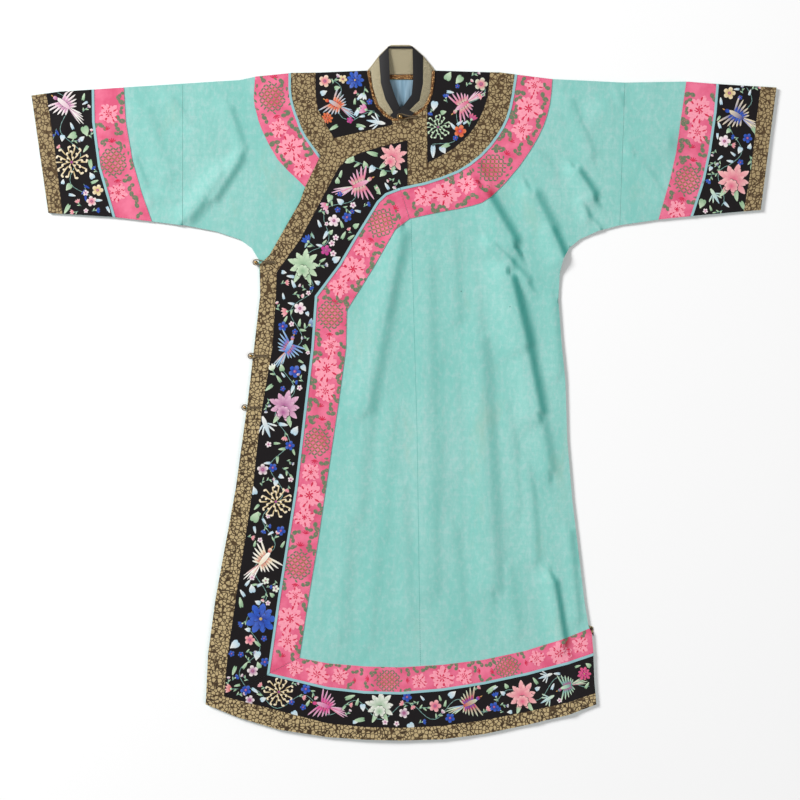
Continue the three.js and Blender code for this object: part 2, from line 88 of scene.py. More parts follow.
floor_bm = bmesh.new()
floor_half_width = 6.0
bmesh.ops.create_grid(floor_bm, x_segments=1, y_segments=1, size=floor_half_width)
floor = new_object("floor", floor_bm)
floor_paint = bpy.data.materials.new("floor_paint")
floor_paint.use_nodes = True
floor_shader = floor_paint.node_tree.nodes["Principled BSDF"]
floor_shader.inputs["Base Color"].default_value = (0.92, 0.92, 0.92, 1.0)
floor_shader.inputs["Roughness"].default_value = 0.9
floor_shader.inputs["Specular IOR Level"].default_value = 0.1
floor.data.materials.append(floor_paint)
floor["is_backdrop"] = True


def softbox(name, place, size, power):
    """A square area light aimed at the middle of the robe."""
    data = bpy.data.lights.new(name, "AREA")
    data.shape = "SQUARE"
    data.size = size
    data.energy = power
    box = bpy.data.objects.new(name, data)
    box.location = place
    box.rotation_euler = (-Vector(place)).to_track_quat("-Z", "Y").to_euler()
    bpy.context.collection.objects.link(box)


softbox("key_light", (-7.0, 4.4, 4.4), 2.6, 1135.0)
softbox("fill_light", (5.0, -2.0, 7.0), 5.0, 215.0)
world = bpy.data.worlds.new("studio")
world.use_nodes = True
world.node_tree.nodes["Background"].inputs["Color"].default_value = (1.0, 1.0, 1.0, 1.0)
world.node_tree.nodes["Background"].inputs["Strength"].default_value = 0.29
bpy.context.scene.world = world

# ---------------------------------------------------------------- silk panels
# The robe's body and sleeves: aqua silk damask lined with silk, cut as two body halves that fold
# over the shoulder, an overlap seamed on at the centre front, and a sleeve extension on each arm.
mm = 0.001
cloth = 1.6 * mm
lap = 1.9 * mm  # what one more layer of cloth adds
silk_cell = 5 * mm

# Folds and creases of the laid silk, from end to end: the crest's two ends, the gentle slope's width
# to its left and the steep one's to its right, and its height, in mm.
folds = np.array([
    # x0, y0, x1, y1, left, right, height
    (162, 396, 216, 304, 36, 13, 8.0),
    (180, 297, 214, 262, 26, 8, 6.7),
    (214, 262, 246, 224, 24, 8, 3.8),
    (212, 226, 242, 98, 44, 15, 10.2),
    (242, 98, 268, -36, 40, 14, 8.1),
    (268, -36, 288, -150, 30, 14, 4.1),
    (258, 394, 292, 328, 30, 14, 6.1),
    (292, 328, 316, 272, 26, 11, 7.8),
    (358, 380, 368, 352, 16, 5, 4.1),
    (368, 352, 390, 330, 14, 5, 2.0),
    (298, 180, 308, 40, 20, 10, 1.8),
    (-8, 312, -40, 150, 30, 16, 4.8),
    (-40, 150, -76, -30, 34, 18, 4.1),
    (-76, -30, -96, -240, 30, 20, 1.8),
    (44, 250, 48, 60, 24, 16, 1.4),
    (48, 60, 54, -390, 26, 20, 1.5),
    (96, 300, 104, 150, 22, 15, 1.5),
    (146, 230, 152, 120, 20, 13, 1.6),
    (150, 100, 178, -380, 34, 22, 4.1),
    (108, 30, 118, -150, 20, 16, 1.2),
    (208, -20, 226, -230, 22, 15, 1.8),
    (250, -150, 262, -330, 20, 10, 2.0),
    (298, -380, 318, -500, 24, 9, 6.4),
    (330, -280, 346, -450, 14, 8, 2.2),
    (206, -350, 222, -480, 20, 14, 1.4),
    (100, -280, 114, -470, 24, 15, 1.3),
    (-26, -40, -44, -280, 24, 17, 1.2),
    (-110, -230, -128, -480, 24, 16, 1.4),
    (-4, -190, 8, -450, 20, 13, 1.1),
    (-58, -330, -70, -500, 20, 12, 1.1),
    (346, 440, 376, 396, 22, 10, 6.7),
    (400, 560, 520, 500, 30, 24, 4.3),
    (330, 580, 372, 480, 24, 12, 2.2),
    (240, 500, 300, 440, 20, 12, 1.7),
    (300, 560, 356, 500, 18, 11, 1.5),
    (430, 590, 456, 470, 16, 9, 1.8),
    (470, 460, 520, 390, 20, 12, 1.8),
    (520, 420, 590, 392, 14, 9, 1.4),
    (-430, 352, -366, 430, 26, 14, 5.3),
    (-380, 390, -330, 466, 22, 10, 4.6),
    (-350, 566, -322, 486, 18, 9, 2.1),
    (-420, 520, -330, 470, 20, 14, 1.7),
    (-520, 560, -474, 440, 26, 18, 2.1),
    (-470, 590, -430, 540, 14, 8, 1.4),
    (-500, 400, -440, 380, 14, 9, 1.7),
    (-540, 470, -506, 384, 14, 8, 1.5),
    (-600, 560, -590, 400, 16, 12, 1.0),
    (-680, 540, -670, 420, 16, 12, 1.0),
    (640, 560, 660, 420, 18, 12, 1.0),
    (-320, -60, -332, -150, 12, 8, 1.0),
    (-360, -300, -352, -420, 12, 8, 1.0),
    (-204, 60, -214, -60, 16, 10, 1.0),
    (-232, -160, -248, -300, 18, 12, 1.2),
    (-340, -330, -320, -352, 7, 5, 1.1),
    (-80, -640, -60, -560, 18, 12, 1.4),
    (120, -680, 130, -560, 20, 14, 1.5),
    (260, -660, 252, -540, 18, 12, 1.4),
    (-200, -660, -180, -590, 18, 12, 1.2),
    (334, -640, 326, -500, 14, 8, 1.7),
    (146, 462, 172, 412, 14, 6, 1.8),
    (-208, 566, -164, 556, 8, 5, 1.0),
])


least_rise, ripple_rise, ripple_share = 0.5, 0.9, 0.35  # mm, mm, and how much of the cloth ripples


def drape(x, y):
    """How far the laid cloth stands off the layer below, in metres, at arrays x and y in metres."""
    px, py = x / mm, y / mm
    raised = np.zeros(len(px))
    for x0, y0, x1, y1, left, right, tall in folds:
        dx, dy = x1 - x0, y1 - y0
        along = ((px - x0) * dx + (py - y0) * dy) / (dx * dx + dy * dy)
        held = np.clip(along, 0, 1)
        far = np.hypot(px - x0 - held * dx, py - y0 - held * dy)
        to_right = (dx * (py - y0) - dy * (px - x0)) * (-1 if dy > 0 else 1) > 0
        raised = np.maximum(raised, tall * np.exp(-((far / np.where(to_right, right, left)) ** 2)))
    ripple = np.array([
        noise.noise(Vector((a / 90, b / 170, 3.1))) + 0.25 * noise.noise(Vector((a / 34, b / 75, 7.7)))
        for a, b in zip(px, py)
    ])
    return (least_rise + raised + ripple_rise * np.clip(ripple + ripple_share, 0, None)) * mm


def smooth_step(value, low, high):
    t = np.clip((value - low) / (high - low), 0, 1)
    return t * t * (3 - 2 * t)


def front_level(x, y):
    """Upper face of the silk on the left front and the overlap."""
    on_underlap = (1 - smooth_step(x, 0.040, 0.130)) * (1 - smooth_step(y, 0.575, 0.625))
    return lap + cloth + lap * on_underlap + drape(x, y)


def right_level(x, y):
    """Upper face of the silk on the right shoulder and sleeve, which runs flat under the overlap."""
    return lap + cloth + drape(x, y) * (1 - smooth_step(x, -0.30, -0.10) * (y < 0.40))


def outline_of(node, facing=1, level=None):
    """One flat face with the outline of a CAD node's upper or lower side."""
    bm = bmesh.new()
    bm.from_mesh(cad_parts[node].data)
    bmesh.ops.remove_doubles(bm, verts=bm.verts, dist=1e-5)
    bm.normal_update()

    def kept(face):
        height = face.calc_center_median().z
        if face.normal.z * facing < 0.5:
            return False
        return level is None or (height - level) * facing > 0

    bmesh.ops.delete(bm, geom=[face for face in bm.faces if not kept(face)], context="FACES")
    for vert in bm.verts:
        vert.co.z = 0.0
    bmesh.ops.dissolve_faces(bm, faces=bm.faces[:], use_verts=False)
    bmesh.ops.remove_doubles(bm, verts=bm.verts, dist=0.3 * mm)
    corners = [v for v in bm.verts if len(v.link_edges) == 2 and v.calc_edge_angle(0) < 0.01]
    bmesh.ops.dissolve_verts(bm, verts=corners)
    bm.normal_update()
    if facing < 0:
        bmesh.ops.reverse_faces(bm, faces=bm.faces[:])
    return bm


def widened(bm, amount=0.15 * mm):
    """Moves a flat outline's edge outwards, so that neighbours meet at their seam."""
    moves = {}
    for face in bm.faces:
        for loop in face.loops:
            before = (loop.vert.co - loop.link_loop_prev.vert.co).normalized()
            after = (loop.link_loop_next.vert.co - loop.vert.co).normalized()
            out = (before + after).cross(Vector((0, 0, 1)))
            if out.length > 0.5:
                moves[loop.vert] = out.normalized() * amount
    for vert, move in moves.items():
        vert.co += move


def cut_lattice(bm, cell):
    """Cuts flat faces along even lines in x and then in y."""
    for axis in (0, 1):
        values = [vert.co[axis] for vert in bm.verts]
        normal = Vector((1, 0, 0)) if axis == 0 else Vector((0, 1, 0))
        first, last = math.floor(min(values) / cell) + 1, math.ceil(max(values) / cell)
        todo = bm.verts[:] + bm.edges[:] + bm.faces[:]
        for step in range(first, last):
            place = step * cell
            bmesh.ops.bisect_plane(bm, geom=todo, dist=1e-7, plane_co=normal * place, plane_no=normal)
            todo = [f for f in bm.faces if max(v.co[axis] for v in f.verts) > place + 1e-6]
            edges = {e for f in todo for e in f.edges}
            todo = list({v for f in todo for v in f.verts}) + list(edges) + todo


fold_foot = 0.9 * mm  # how low a folded edge reaches
# How strongly the painted fold shade grows as a slope turns right, away from the key light on the left.
fold_shade_contrast = 2.4


def lay(bm, cell, level, thickness, rings, folded=None):
    """Makes a flat outline into laid cloth: edge rings, a fine lattice, its height and its wall.
    rings holds, from the edge inwards, each ring's width and how far it turns down."""
    rim = bm.verts.layers.float.new("rim")
    for vert in bm.verts:
        vert[rim] = rings[0][1]
    core = bm.faces[:]
    for number, (width, _) in enumerate(rings):
        inner = rings[number + 1][1] if number + 1 < len(rings) else 0.0
        bmesh.ops.inset_region(bm, faces=core, thickness=width, use_even_offset=False)
        for vert in {v for f in core for v in f.verts}:
            vert[rim] = inner
    cut_lattice(bm, cell)
    xs = np.array([vert.co.x for vert in bm.verts])
    ys = np.array([vert.co.y for vert in bm.verts])
    heights = level(xs, ys)
    for vert, height in zip(bm.verts, heights):
        drop = vert[rim]
        if folded is not None and folded(vert.co.x, vert.co.y) and rings[0][1] > 0:
            share = vert[rim] / rings[0][1]
            drop = share * max(height - fold_foot, 0.0)
        vert.co.z = height - drop
    bm.normal_update()
    # Painted shade mask: how far each slope turns right, away from the key light on the left. It is kept off
    # the edge rings.
    fold_shade = bm.verts.layers.float.new("fold_shade")
    for vert in bm.verts:
        vert[fold_shade] = min(max(fold_shade_contrast * vert.normal.x, 0.0), 1.0) if vert[rim] == 0 else 0.0
    bmesh.ops.triangulate(bm, faces=[f for f in bm.faces if len(f.verts) > 4])
    bmesh.ops.solidify(bm, geom=bm.faces[:], thickness=thickness)
    return bm


def paint(name, color, roughness, sheen=0.0):
    """A material with its shader, its nodes and its links to add to."""
    material = bpy.data.materials.new(name)
    material.use_nodes = True
    tree = material.node_tree
    shader = tree.nodes["Principled BSDF"]
    shader.inputs["Base Color"].default_value = (*color, 1.0)
    shader.inputs["Roughness"].default_value = roughness
    shader.inputs["Specular IOR Level"].default_value = 0.3
    shader.inputs["Sheen Weight"].default_value = sheen
    shader.inputs["Sheen Roughness"].default_value = 0.4
    return material, tree, shader


def node(tree, kind, links=(), **values):
    """Adds a node; values set its properties or its sockets, links join other sockets to its own."""
    made = tree.nodes.new(kind)
    for key, value in values.items():
        if hasattr(made, key):
            setattr(made, key, value)
        else:
            made.inputs[key.replace("_", " ")].default_value = value
    for socket, source in links:
        tree.links.new(source, made.inputs[socket])
    return made


def stretched(tree, scale, turn=0.0):
    """Object coordinates, stretched and turned about Z."""
    place = node(tree, "ShaderNodeTexCoord")
    mapping = node(tree, "ShaderNodeMapping", [("Vector", place.outputs["Object"])], Scale=scale)
    mapping.inputs["Rotation"].default_value = (0.0, 0.0, math.radians(turn))
    return mapping.outputs["Vector"]


def mottling(tree, scale, detail=2.0, roughness=0.5, turn=0.0):
    """Soft noise, stretched by its scale along each axis."""
    made = node(
        tree, "ShaderNodeTexNoise", [("Vector", stretched(tree, scale, turn))],
        Scale=1.0, Detail=detail, Roughness=roughness,
    )
    return made.outputs["Fac"]


def mixed(tree, factor, first, second):
    """One colour over another; each is a colour or a socket."""
    mix = node(tree, "ShaderNodeMix", data_type="RGBA")
    for socket, value in (("A", first), ("B", second), ("Factor", factor)):
        target = [s for s in mix.inputs if s.name == socket and (socket == "Factor" or s.type == "RGBA")][0]
        if isinstance(value, bpy.types.NodeSocket):
            tree.links.new(value, target)
        else:
            target.default_value = value if socket == "Factor" else (*value, 1.0)
    return [s for s in mix.outputs if s.type == "RGBA"][0]


def ranged(tree, value, low, high, to_low=0.0, to_high=1.0):
    """Spreads a value's range over another."""
    spread = node(tree, "ShaderNodeMapRange", [("Value", value)])
    for socket, number in (("From Min", low), ("From Max", high), ("To Min", to_low), ("To Max", to_high)):
        spread.inputs[socket].default_value = number
    return spread.outputs["Result"]


def roughen(tree, shader, height, strength, distance):
    """Adds a fine relief."""
    bump = node(tree, "ShaderNodeBump", [("Height", height)], Strength=strength, Distance=distance)
    before = shader.inputs["Normal"].links
    if before:
        tree.links.new(before[0].from_socket, bump.inputs["Normal"])
    tree.links.new(bump.outputs["Normal"], shader.inputs["Normal"])


def woven(tree, shader, thread, strength, distance=0.0002, turn=0.0):
    """Crossed threads of a plain or twill weave; thread is their spacing in metres."""
    scale = 0.314 / thread
    vector = stretched(tree, (1, 1, 1), turn)
    warp = node(tree, "ShaderNodeTexWave", [("Vector", vector)], bands_direction="X", Scale=scale)
    weft = node(tree, "ShaderNodeTexWave", [("Vector", vector)], bands_direction="Y", Scale=scale * 0.8)
    both = node(
        tree, "ShaderNodeMath",
        [(0, warp.outputs["Fac"]), (1, weft.outputs["Fac"])], operation="MULTIPLY",
    )
    roughen(tree, shader, both.outputs[0], strength, distance)


def painted_fold_shade(tree, tone, deep, strength):
    """Painted shade: deepens a tone on the steep side of a fold, which faces away from the key light."""
    fold_shade = node(tree, "ShaderNodeAttribute", attribute_name="fold_shade")
    return mixed(tree, ranged(tree, fold_shade.outputs["Fac"], 0.12, 1.0, 0.0, strength), tone, deep)


aqua = (0.30, 0.60, 0.55)
aqua_deep = (0.205, 0.535, 0.48)
aqua_grey = (0.40, 0.60, 0.58)
# Painted shade: the deep teal laid on the steep sides of folds.
aqua_fold_shade = (0.045, 0.36, 0.31)
tan_stain = (0.37, 0.50, 0.40)
silk, silk_tree, silk_shader = paint("silk_damask", aqua, 0.5, 0.08)
silk_shader.inputs["Specular IOR Level"].default_value = 0.2
patches = mottling(silk_tree, (6.0, 4.0, 1), 9.0, 0.66)
streaks = mottling(silk_tree, (34.0, 2.4, 1), 7.0)
slubs = mottling(silk_tree, (26.0, 210.0, 1), 3.0)
stains = mottling(silk_tree, (9.0, 4.0, 1), 9.0, 0.62)
mottle = mottling(silk_tree, (110.0, 70.0, 1), 6.0, 0.68)
creases = mottling(silk_tree, (34.0, 15.0, 1), 5.0, 0.62, 8.0)
tone = mixed(silk_tree, ranged(silk_tree, patches, 0.36, 0.62), aqua_deep, aqua)
tone = mixed(silk_tree, ranged(silk_tree, streaks, 0.46, 0.74, 0.0, 0.45), tone, aqua_grey)
tone = mixed(silk_tree, ranged(silk_tree, slubs, 0.48, 0.74, 0.0, 0.45), tone, aqua_deep)
tone = mixed(silk_tree, ranged(silk_tree, mottle, 0.42, 0.72, 0.0, 0.75), tone, aqua_deep)
tone = mixed(silk_tree, ranged(silk_tree, mottle, 0.50, 0.30, 0.0, 0.55), tone, aqua_grey)
tone = mixed(silk_tree, ranged(silk_tree, stains, 0.58, 0.72, 0.0, 0.40), tone, tan_stain)
# Painted shade on the fold slopes that face away from the light.
tone = painted_fold_shade(silk_tree, tone, aqua_fold_shade, 0.85)
silk_tree.links.new(tone, silk_shader.inputs["Base Color"])
woven(silk_tree, silk_shader, 0.0007, 0.25)
roughen(silk_tree, silk_shader, slubs, 0.25, 0.0004)
roughen(silk_tree, silk_shader, creases, 0.35, 0.0035)


def finish_piece(obj, material, node_name=None):
    """Gives a piece its material and its place on the body, and hides the CAD node it replaces."""
    obj.data.materials.append(material)
    obj.data.shade_smooth()
    obj.data.set_sharp_from_angle(angle=math.radians(55))
    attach(obj, "root")
    if node_name:
        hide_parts(node_name)


def area_of(bm):
    return sum(face.calc_area() for face in bm.faces)


def strip_cut(bm):
    """Width, length and area of the straight strip that has a flat outline's area and rim."""
    area = area_of(bm)
    half = sum(edge.calc_length() for edge in bm.edges if edge.is_boundary) / 2
    root = math.sqrt(max(half * half / 4 - area, 0.0))
    length = half / 2 + root
    return area / length, length, area


silk_rings = [(0.9 * mm, 0.25 * mm), (1.6 * mm, 0.06 * mm)]
back_rings = [(1.5 * mm, 0.0), (2.0 * mm, 0.0)]
silk_wall = 1.1 * mm
back_height = 1.5 * mm


def back_level(x, y):
    return np.full(len(x), back_height)


def panel(name, level, folded=None, has_back=True):
    """A silk panel: its front, and its back where it folds over the shoulder or the arm."""
    front = outline_of(name, 1, 2.5 * mm if has_back else None)
    box_low, box_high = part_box(name)
    area = area_of(front)
    widened(front)
    lay(front, silk_cell, level, silk_wall, silk_rings, folded)
    length = box_high[1] - box_low[1]
    if has_back:
        back = outline_of(name, -1, 0.5 * mm)
        area += area_of(back)
        lay(back, 4 * silk_cell, back_level, silk_wall, back_rings)
        spare = bpy.data.meshes.new("spare")
        back.to_mesh(spare)
        back.free()
        front.from_mesh(spare)
        bpy.data.meshes.remove(spare)
        length *= 2
    obj = new_object(name + "_silk", front)
    finish_piece(obj, silk, name)


panel("body_left", front_level, lambda x, y: 0.070 < x < 0.428 and y > -0.465)
panel("body_right", right_level, lambda x, y: -0.439 < x < -0.082 and y > -0.465)
panel("front_overlap", front_level, has_back=False)
panel("sleeve_left", front_level, lambda x, y: 0.445 < x < 0.712)
panel("sleeve_right", right_level, lambda x, y: -0.712 < x < -0.447)

# ---------------------------------------------------------------- trims
# Black satin bands, gold brocade bindings, silk piping and pink woven ribbons, cut as strips and
# sewn on the silk round the yoke, the lapel, the side, the hem and the cuffs.
satin, satin_tree, satin_shader = paint("black_satin", (0.007, 0.005, 0.006), 0.52)
satin_shader.inputs["Specular IOR Level"].default_value = 0.18
woven(satin_tree, satin_shader, 0.0009, 0.3, turn=3.0)

brocade, brocade_tree, brocade_shader = paint("gold_brocade", (0.40, 0.28, 0.11), 0.55, 0.15)
cell_size = 7.4 * mm
gold_dark, gold_light = (0.32, 0.235, 0.105), (0.63, 0.49, 0.265)
cell_outline, cell_heart = (0.045, 0.025, 0.009), (0.07, 0.04, 0.014)
# The second colour on the next line is painted shade for the steep sides of folds.
gold_unfaded, gold_fold_shade = (0.11, 0.06, 0.022), (0.08, 0.045, 0.015)
cell_space = stretched(brocade_tree, (1, 1, 0))
robe_space = stretched(brocade_tree, (1, 1, 1))
cells = node(
    brocade_tree, "ShaderNodeTexVoronoi", [("Vector", cell_space)],
    feature="DISTANCE_TO_EDGE", Scale=1 / cell_size, Randomness=0.8,
)
cell_middle = node(
    brocade_tree, "ShaderNodeTexVoronoi", [("Vector", cell_space)], Scale=1 / cell_size, Randomness=0.8,
)
threads = mottling(brocade_tree, (900, 300, 1))
gold = mixed(brocade_tree, ranged(brocade_tree, threads, 0.3, 0.7), gold_dark, gold_light)
outlined = ranged(brocade_tree, cells.outputs["Distance"], 0.06, 0.125)
ground = mixed(brocade_tree, outlined, cell_outline, gold)
rounded = ranged(brocade_tree, cell_middle.outputs["Distance"], 0.66, 0.82)
ground = mixed(brocade_tree, rounded, ground, cell_heart)
# Towards the shoulders the gold has faded less, so it is darker there.
up_the_robe = node(brocade_tree, "ShaderNodeSeparateXYZ", [("Vector", robe_space)])
less_faded = ranged(brocade_tree, up_the_robe.outputs["Y"], -0.1, 0.45, 0.0, 0.30)
ground = mixed(brocade_tree, less_faded, ground, gold_unfaded)
# Painted shade on the fold slopes that face away from the light.
ground = painted_fold_shade(brocade_tree, ground, gold_fold_shade, 0.5)
brocade_tree.links.new(ground, brocade_shader.inputs["Base Color"])
roughen(brocade_tree, brocade_shader, ranged(brocade_tree, cells.outputs["Distance"], 0.0, 0.2), 0.5, 0.0004)
woven(brocade_tree, brocade_shader, 0.0008, 0.3)

ribbon_pink, ribbon_dark, ribbon_light = (0.78, 0.12, 0.24), (0.68, 0.09, 0.19), (0.82, 0.18, 0.30)
# Painted shade: the deep red laid on the steep sides of folds.
ribbon_fold_shade = (0.45, 0.006, 0.02)
ribbon, ribbon_tree, ribbon_shader = paint("pink_ribbon", ribbon_pink, 0.5, 0.2)
faded = mottling(ribbon_tree, (30, 30, 1), 4.0)
ribbon_tone = mixed(ribbon_tree, ranged(ribbon_tree, faded, 0.35, 0.65), ribbon_dark, ribbon_light)
# Painted shade on the fold slopes that face away from the light.
ribbon_tone = painted_fold_shade(ribbon_tree, ribbon_tone, ribbon_fold_shade, 0.9)
ribbon_tree.links.new(ribbon_tone, ribbon_shader.inputs["Base Color"])
woven(ribbon_tree, ribbon_shader, 0.0008, 0.35)

piping_silk, piping_tree, piping_shader = paint("aqua_piping", (0.27, 0.50, 0.53), 0.5, 0.2)
woven(piping_tree, piping_shader, 0.0008, 0.3, turn=45.0)

trim_height = 1.0 * mm
trim_wall = 0.8 * mm
trim_cell = 6 * mm
trim_rings = [(0.5 * mm, 0.3 * mm), (1.3 * mm, 0.08 * mm)]
turned_rings = [(0.6 * mm, 1.7 * mm), (1.3 * mm, 0.25 * mm)]  # a binding is turned over the edge
piping_rings = [(0.7 * mm, 1.1 * mm), (0.9 * mm, 0.35 * mm)]
piping_height = trim_height + 0.7 * mm
seam_cover = 0.15 * mm  # how far a trim reaches over its seam
binding_cover = 0.45 * mm
trim_kinds = {
    # kind: slot, material, height of its upper face over the silk's, edge rings
    "binding": ("brocade", brocade, trim_height, turned_rings),
    "band": ("satin", satin, trim_height, trim_rings),
    "piping": ("piping", piping_silk, piping_height, piping_rings),
    "ribbon": ("ribbon", ribbon, trim_height, trim_rings),
}
trims = [(f"{place}_{kind}", kind) for place in ("front", "hem") for kind in trim_kinds]
trims.append(("centre_binding", "binding"))
for place in ("yoke_left", "yoke_right", "cuff_left", "cuff_right"):
    trims += [(f"{place}_{kind}", kind) for kind in trim_kinds]


def level_at(name):
    """The silk that carries a piece: the right shoulder's and sleeve's, or the front's."""
    return right_level if name.startswith(("yoke_right", "cuff_right")) else front_level


for name, kind in trims:
    slot, material, height, rings = trim_kinds[kind]
    level = level_at(name)
    bm = outline_of(name)
    width, length, area = strip_cut(bm)
    widened(bm, binding_cover if kind == "binding" else seam_cover)
    lay(bm, trim_cell, lambda x, y: level(x, y) + height, trim_wall, rings)
    obj = new_object(name + "_trim", bm)
    finish_piece(obj, material, name)

# ---------------------------------------------------------------- trims of the back
# The same strips on the underside: on the cuffs and the hem, and round the back of the yoke, which
# is the same on both sides of the centre back seam.
back_trim_wall = 0.4 * mm
back_trim_cell = 30 * mm
yoke_middle = (-6, 640)  # mm
yoke_rings = {"ribbon": (226, 290), "piping": (221, 226), "binding": (174, 221), "band": (72, 174)}
ring_start, ring_sweep, ring_steps = -177.2, 174.4, 32  # degrees, from the wearer's right round to the left


def half_ring(inner, outer):
    """A flat half ring below the shoulders, from two radii in mm."""
    corners = []
    for radius, order in ((outer, range(ring_steps + 1)), (inner, range(ring_steps, -1, -1))):
        for step in order:
            angle = math.radians(ring_start + ring_sweep * step / ring_steps)
            x = yoke_middle[0] + radius * math.cos(angle)
            corners.append(Vector((x, yoke_middle[1] + radius * math.sin(angle), 0)) * mm)
    bm = bmesh.new()
    bm.faces.new([bm.verts.new(corner) for corner in corners])
    bm.normal_update()
    return bm


def under_level(x, y):
    return np.full(len(x), back_trim_wall + 0.02 * mm)


for place in ("hem", "cuff_left", "cuff_right", "yoke"):
    for kind, (slot, material, *_) in trim_kinds.items():
        bm = half_ring(*yoke_rings[kind]) if place == "yoke" else outline_of(f"{place}_{kind}")
        width, length, area = strip_cut(bm)
        lay(bm, back_trim_cell, under_level, back_trim_wall, [(0.6 * mm, 0.0)])
        obj = new_object(f"back_{place}_{kind}", bm)
        finish_piece(obj, material)

# ---------------------------------------------------------------- embroidery
# Flowers, birds, insects and winding sprays of floss silk in satin stitch, worked on the black bands
# before they were sewn on. Each petal, leaf or feather is one low patch of stitches.
pale_pink, rose, crimson = (0.88, 0.50, 0.48), (0.70, 0.10, 0.20), (0.55, 0.012, 0.03)
cream, white, gold_floss = (0.84, 0.72, 0.50), (0.86, 0.84, 0.78), (0.60, 0.42, 0.14)
deep_blue, blue, sky = (0.010, 0.028, 0.26), (0.03, 0.12, 0.58), (0.40, 0.60, 0.72)
mauve, lilac = (0.36, 0.07, 0.24), (0.76, 0.46, 0.60)
leaf_green, leaf_pale, vine_green = (0.24, 0.42, 0.24), (0.60, 0.74, 0.52), (0.20, 0.38, 0.34)
teal, orange, magenta = (0.04, 0.30, 0.28), (0.80, 0.22, 0.06), (0.60, 0.03, 0.26)
shade = (0.012, 0.010, 0.012)  # the satin that shows between two patches

floss, floss_tree, floss_shader = paint("floss_silk", white, 0.40, 0.3)
floss_color = node(floss_tree, "ShaderNodeVertexColor", layer_name="thread")
floss_tree.links.new(floss_color.outputs["Color"], floss_shader.inputs["Base Color"])
stitch_place = node(floss_tree, "ShaderNodeUVMap", uv_map="stitches")
stitch_rows = node(
    floss_tree, "ShaderNodeTexWave", [("Vector", stitch_place.outputs["UV"])],
    bands_direction="Y", Scale=0.314 / 0.0006, Distortion=1.0,
)
roughen(floss_tree, floss_shader, stitch_rows.outputs["Fac"], 0.6, 0.0002)


def new_needlework():
    bm = bmesh.new()
    bm.loops.layers.float_color.new("thread")
    bm.loops.layers.uv.new("stitches")
    bm.verts.layers.float.new("relief")
    return bm


def polar(x, y, distance, angle):
    return x + distance * math.cos(math.radians(angle)), y + distance * math.sin(math.radians(angle))


def petal(bm, x, y, length, width, angle, inner, outer, swell=0.3, point=0.0, lift=0.0, sides=10, dome=0.4):
    """A patch of stitches that starts at x, y and runs along angle; in mm and degrees."""
    color = bm.loops.layers.float_color["thread"]
    stitches = bm.loops.layers.uv["stitches"]
    relief = bm.verts.layers.float["relief"]
    made = bmesh.ops.create_circle(bm, cap_ends=True, cap_tris=True, segments=sides, radius=0.5)
    cos, sin = math.cos(math.radians(angle)), math.sin(math.radians(angle))
    local = {}
    for vert in made["verts"]:
        along = vert.co.x + 0.5
        side = 2 * along - 1
        across = vert.co.y * (1 + swell * side) * (1 - point * max(side, 0) ** 2)
        vert[relief] = lift + (dome if vert.co.length < 0.1 else -0.05)
        local[vert] = (along, across)
        px = x + along * length * cos - across * width * sin
        py = y + along * length * sin + across * width * cos
        vert.co = Vector((px, py, 0.0)) * mm
    for face in {f for vert in made["verts"] for f in vert.link_faces}:
        for loop in face.loops:
            along, across = local[loop.vert]
            loop[color] = [a + (b - a) * along for a, b in zip(inner, outer)] + [1.0]
            loop[stitches].uv = (along * length * mm, across * width * mm)


def voided(bm, x, y, length, width, angle, inner, outer, swell=0.3, point=0.0, lift=0.0):
    """A petal with a line of bare satin round it, where it lies over others."""
    petal(bm, x, y, length + 1.0, width + 1.8, angle, shade, shade, swell, point, lift, 10, 0.2)
    petal(bm, x, y, length, width, angle, inner, outer, swell, point, lift + 0.12)


def leaf(bm, x, y, size, angle, dark=leaf_green, pale=leaf_pale):
    """A pointed leaf in two halves that meet at its vein."""
    for side, color in ((1, pale), (-1, tuple(0.6 * a + 0.4 * b for a, b in zip(pale, dark)))):
        base = polar(x, y, size * 0.10, angle + 90 * side)
        petal(bm, *base, size, size * 0.24, angle - 5 * side, dark, color, -0.1, 0.5)


def heart(bm, x, y, size, angle, dark=sky, pale=white):
    """A heart-shaped leaf."""
    for side in (1, -1):
        base = polar(x, y, size * 0.20, angle + 90 * side)
        petal(bm, *base, size, size * 0.46, angle - 14 * side, dark, pale, -0.35, 0.5)


def stem(bm, places, color=vine_green, wide=1.3):
    for (x0, y0), (x1, y1) in zip(places, places[1:]):
        angle = math.degrees(math.atan2(y1 - y0, x1 - x0))
        petal(bm, x0, y0, math.hypot(x1 - x0, y1 - y0) * 1.2, wide, angle, color, color, 0, 0, -0.1, 6, 0.1)


def sprig(bm, x, y, size, angle, dark=leaf_green, pale=leaf_pale, end=None):
    """A bent stem with leaves on both sides, and a flower bud or a leaf at its end."""
    one = polar(x, y, size * 0.45, angle + 8)
    two = polar(*one, size * 0.35, angle - 12)
    stem(bm, [(x, y), one, two])
    leaf(bm, *polar(x, y, size * 0.15, angle), size * 0.42, angle + 52, dark, pale)
    leaf(bm, *one, size * 0.42, angle - 52, dark, pale)
    if end:
        for turn in (-32, 32, 0):
            voided(bm, *two, size * 0.32, size * 0.16, angle + turn, end, white)
    else:
        leaf(bm, *two, size * 0.42, angle - 8, dark, pale)


def plum(bm, x, y, size, angle, inner, outer):
    """Five round petals and a dark heart with gold stamens."""
    for i in range(5):
        turn = angle + 72 * i
        voided(bm, *polar(x, y, size * 0.06, turn), size * 0.42, size * 0.34, turn, inner, outer, 0.2)
    petal(bm, x - size * 0.12, y, size * 0.24, size * 0.24, 0, mauve, mauve, 0, 0, 0.3)
    petal(bm, x - size * 0.05, y, size * 0.1, size * 0.1, 0, gold_floss, gold_floss, 0, 0, 0.5)


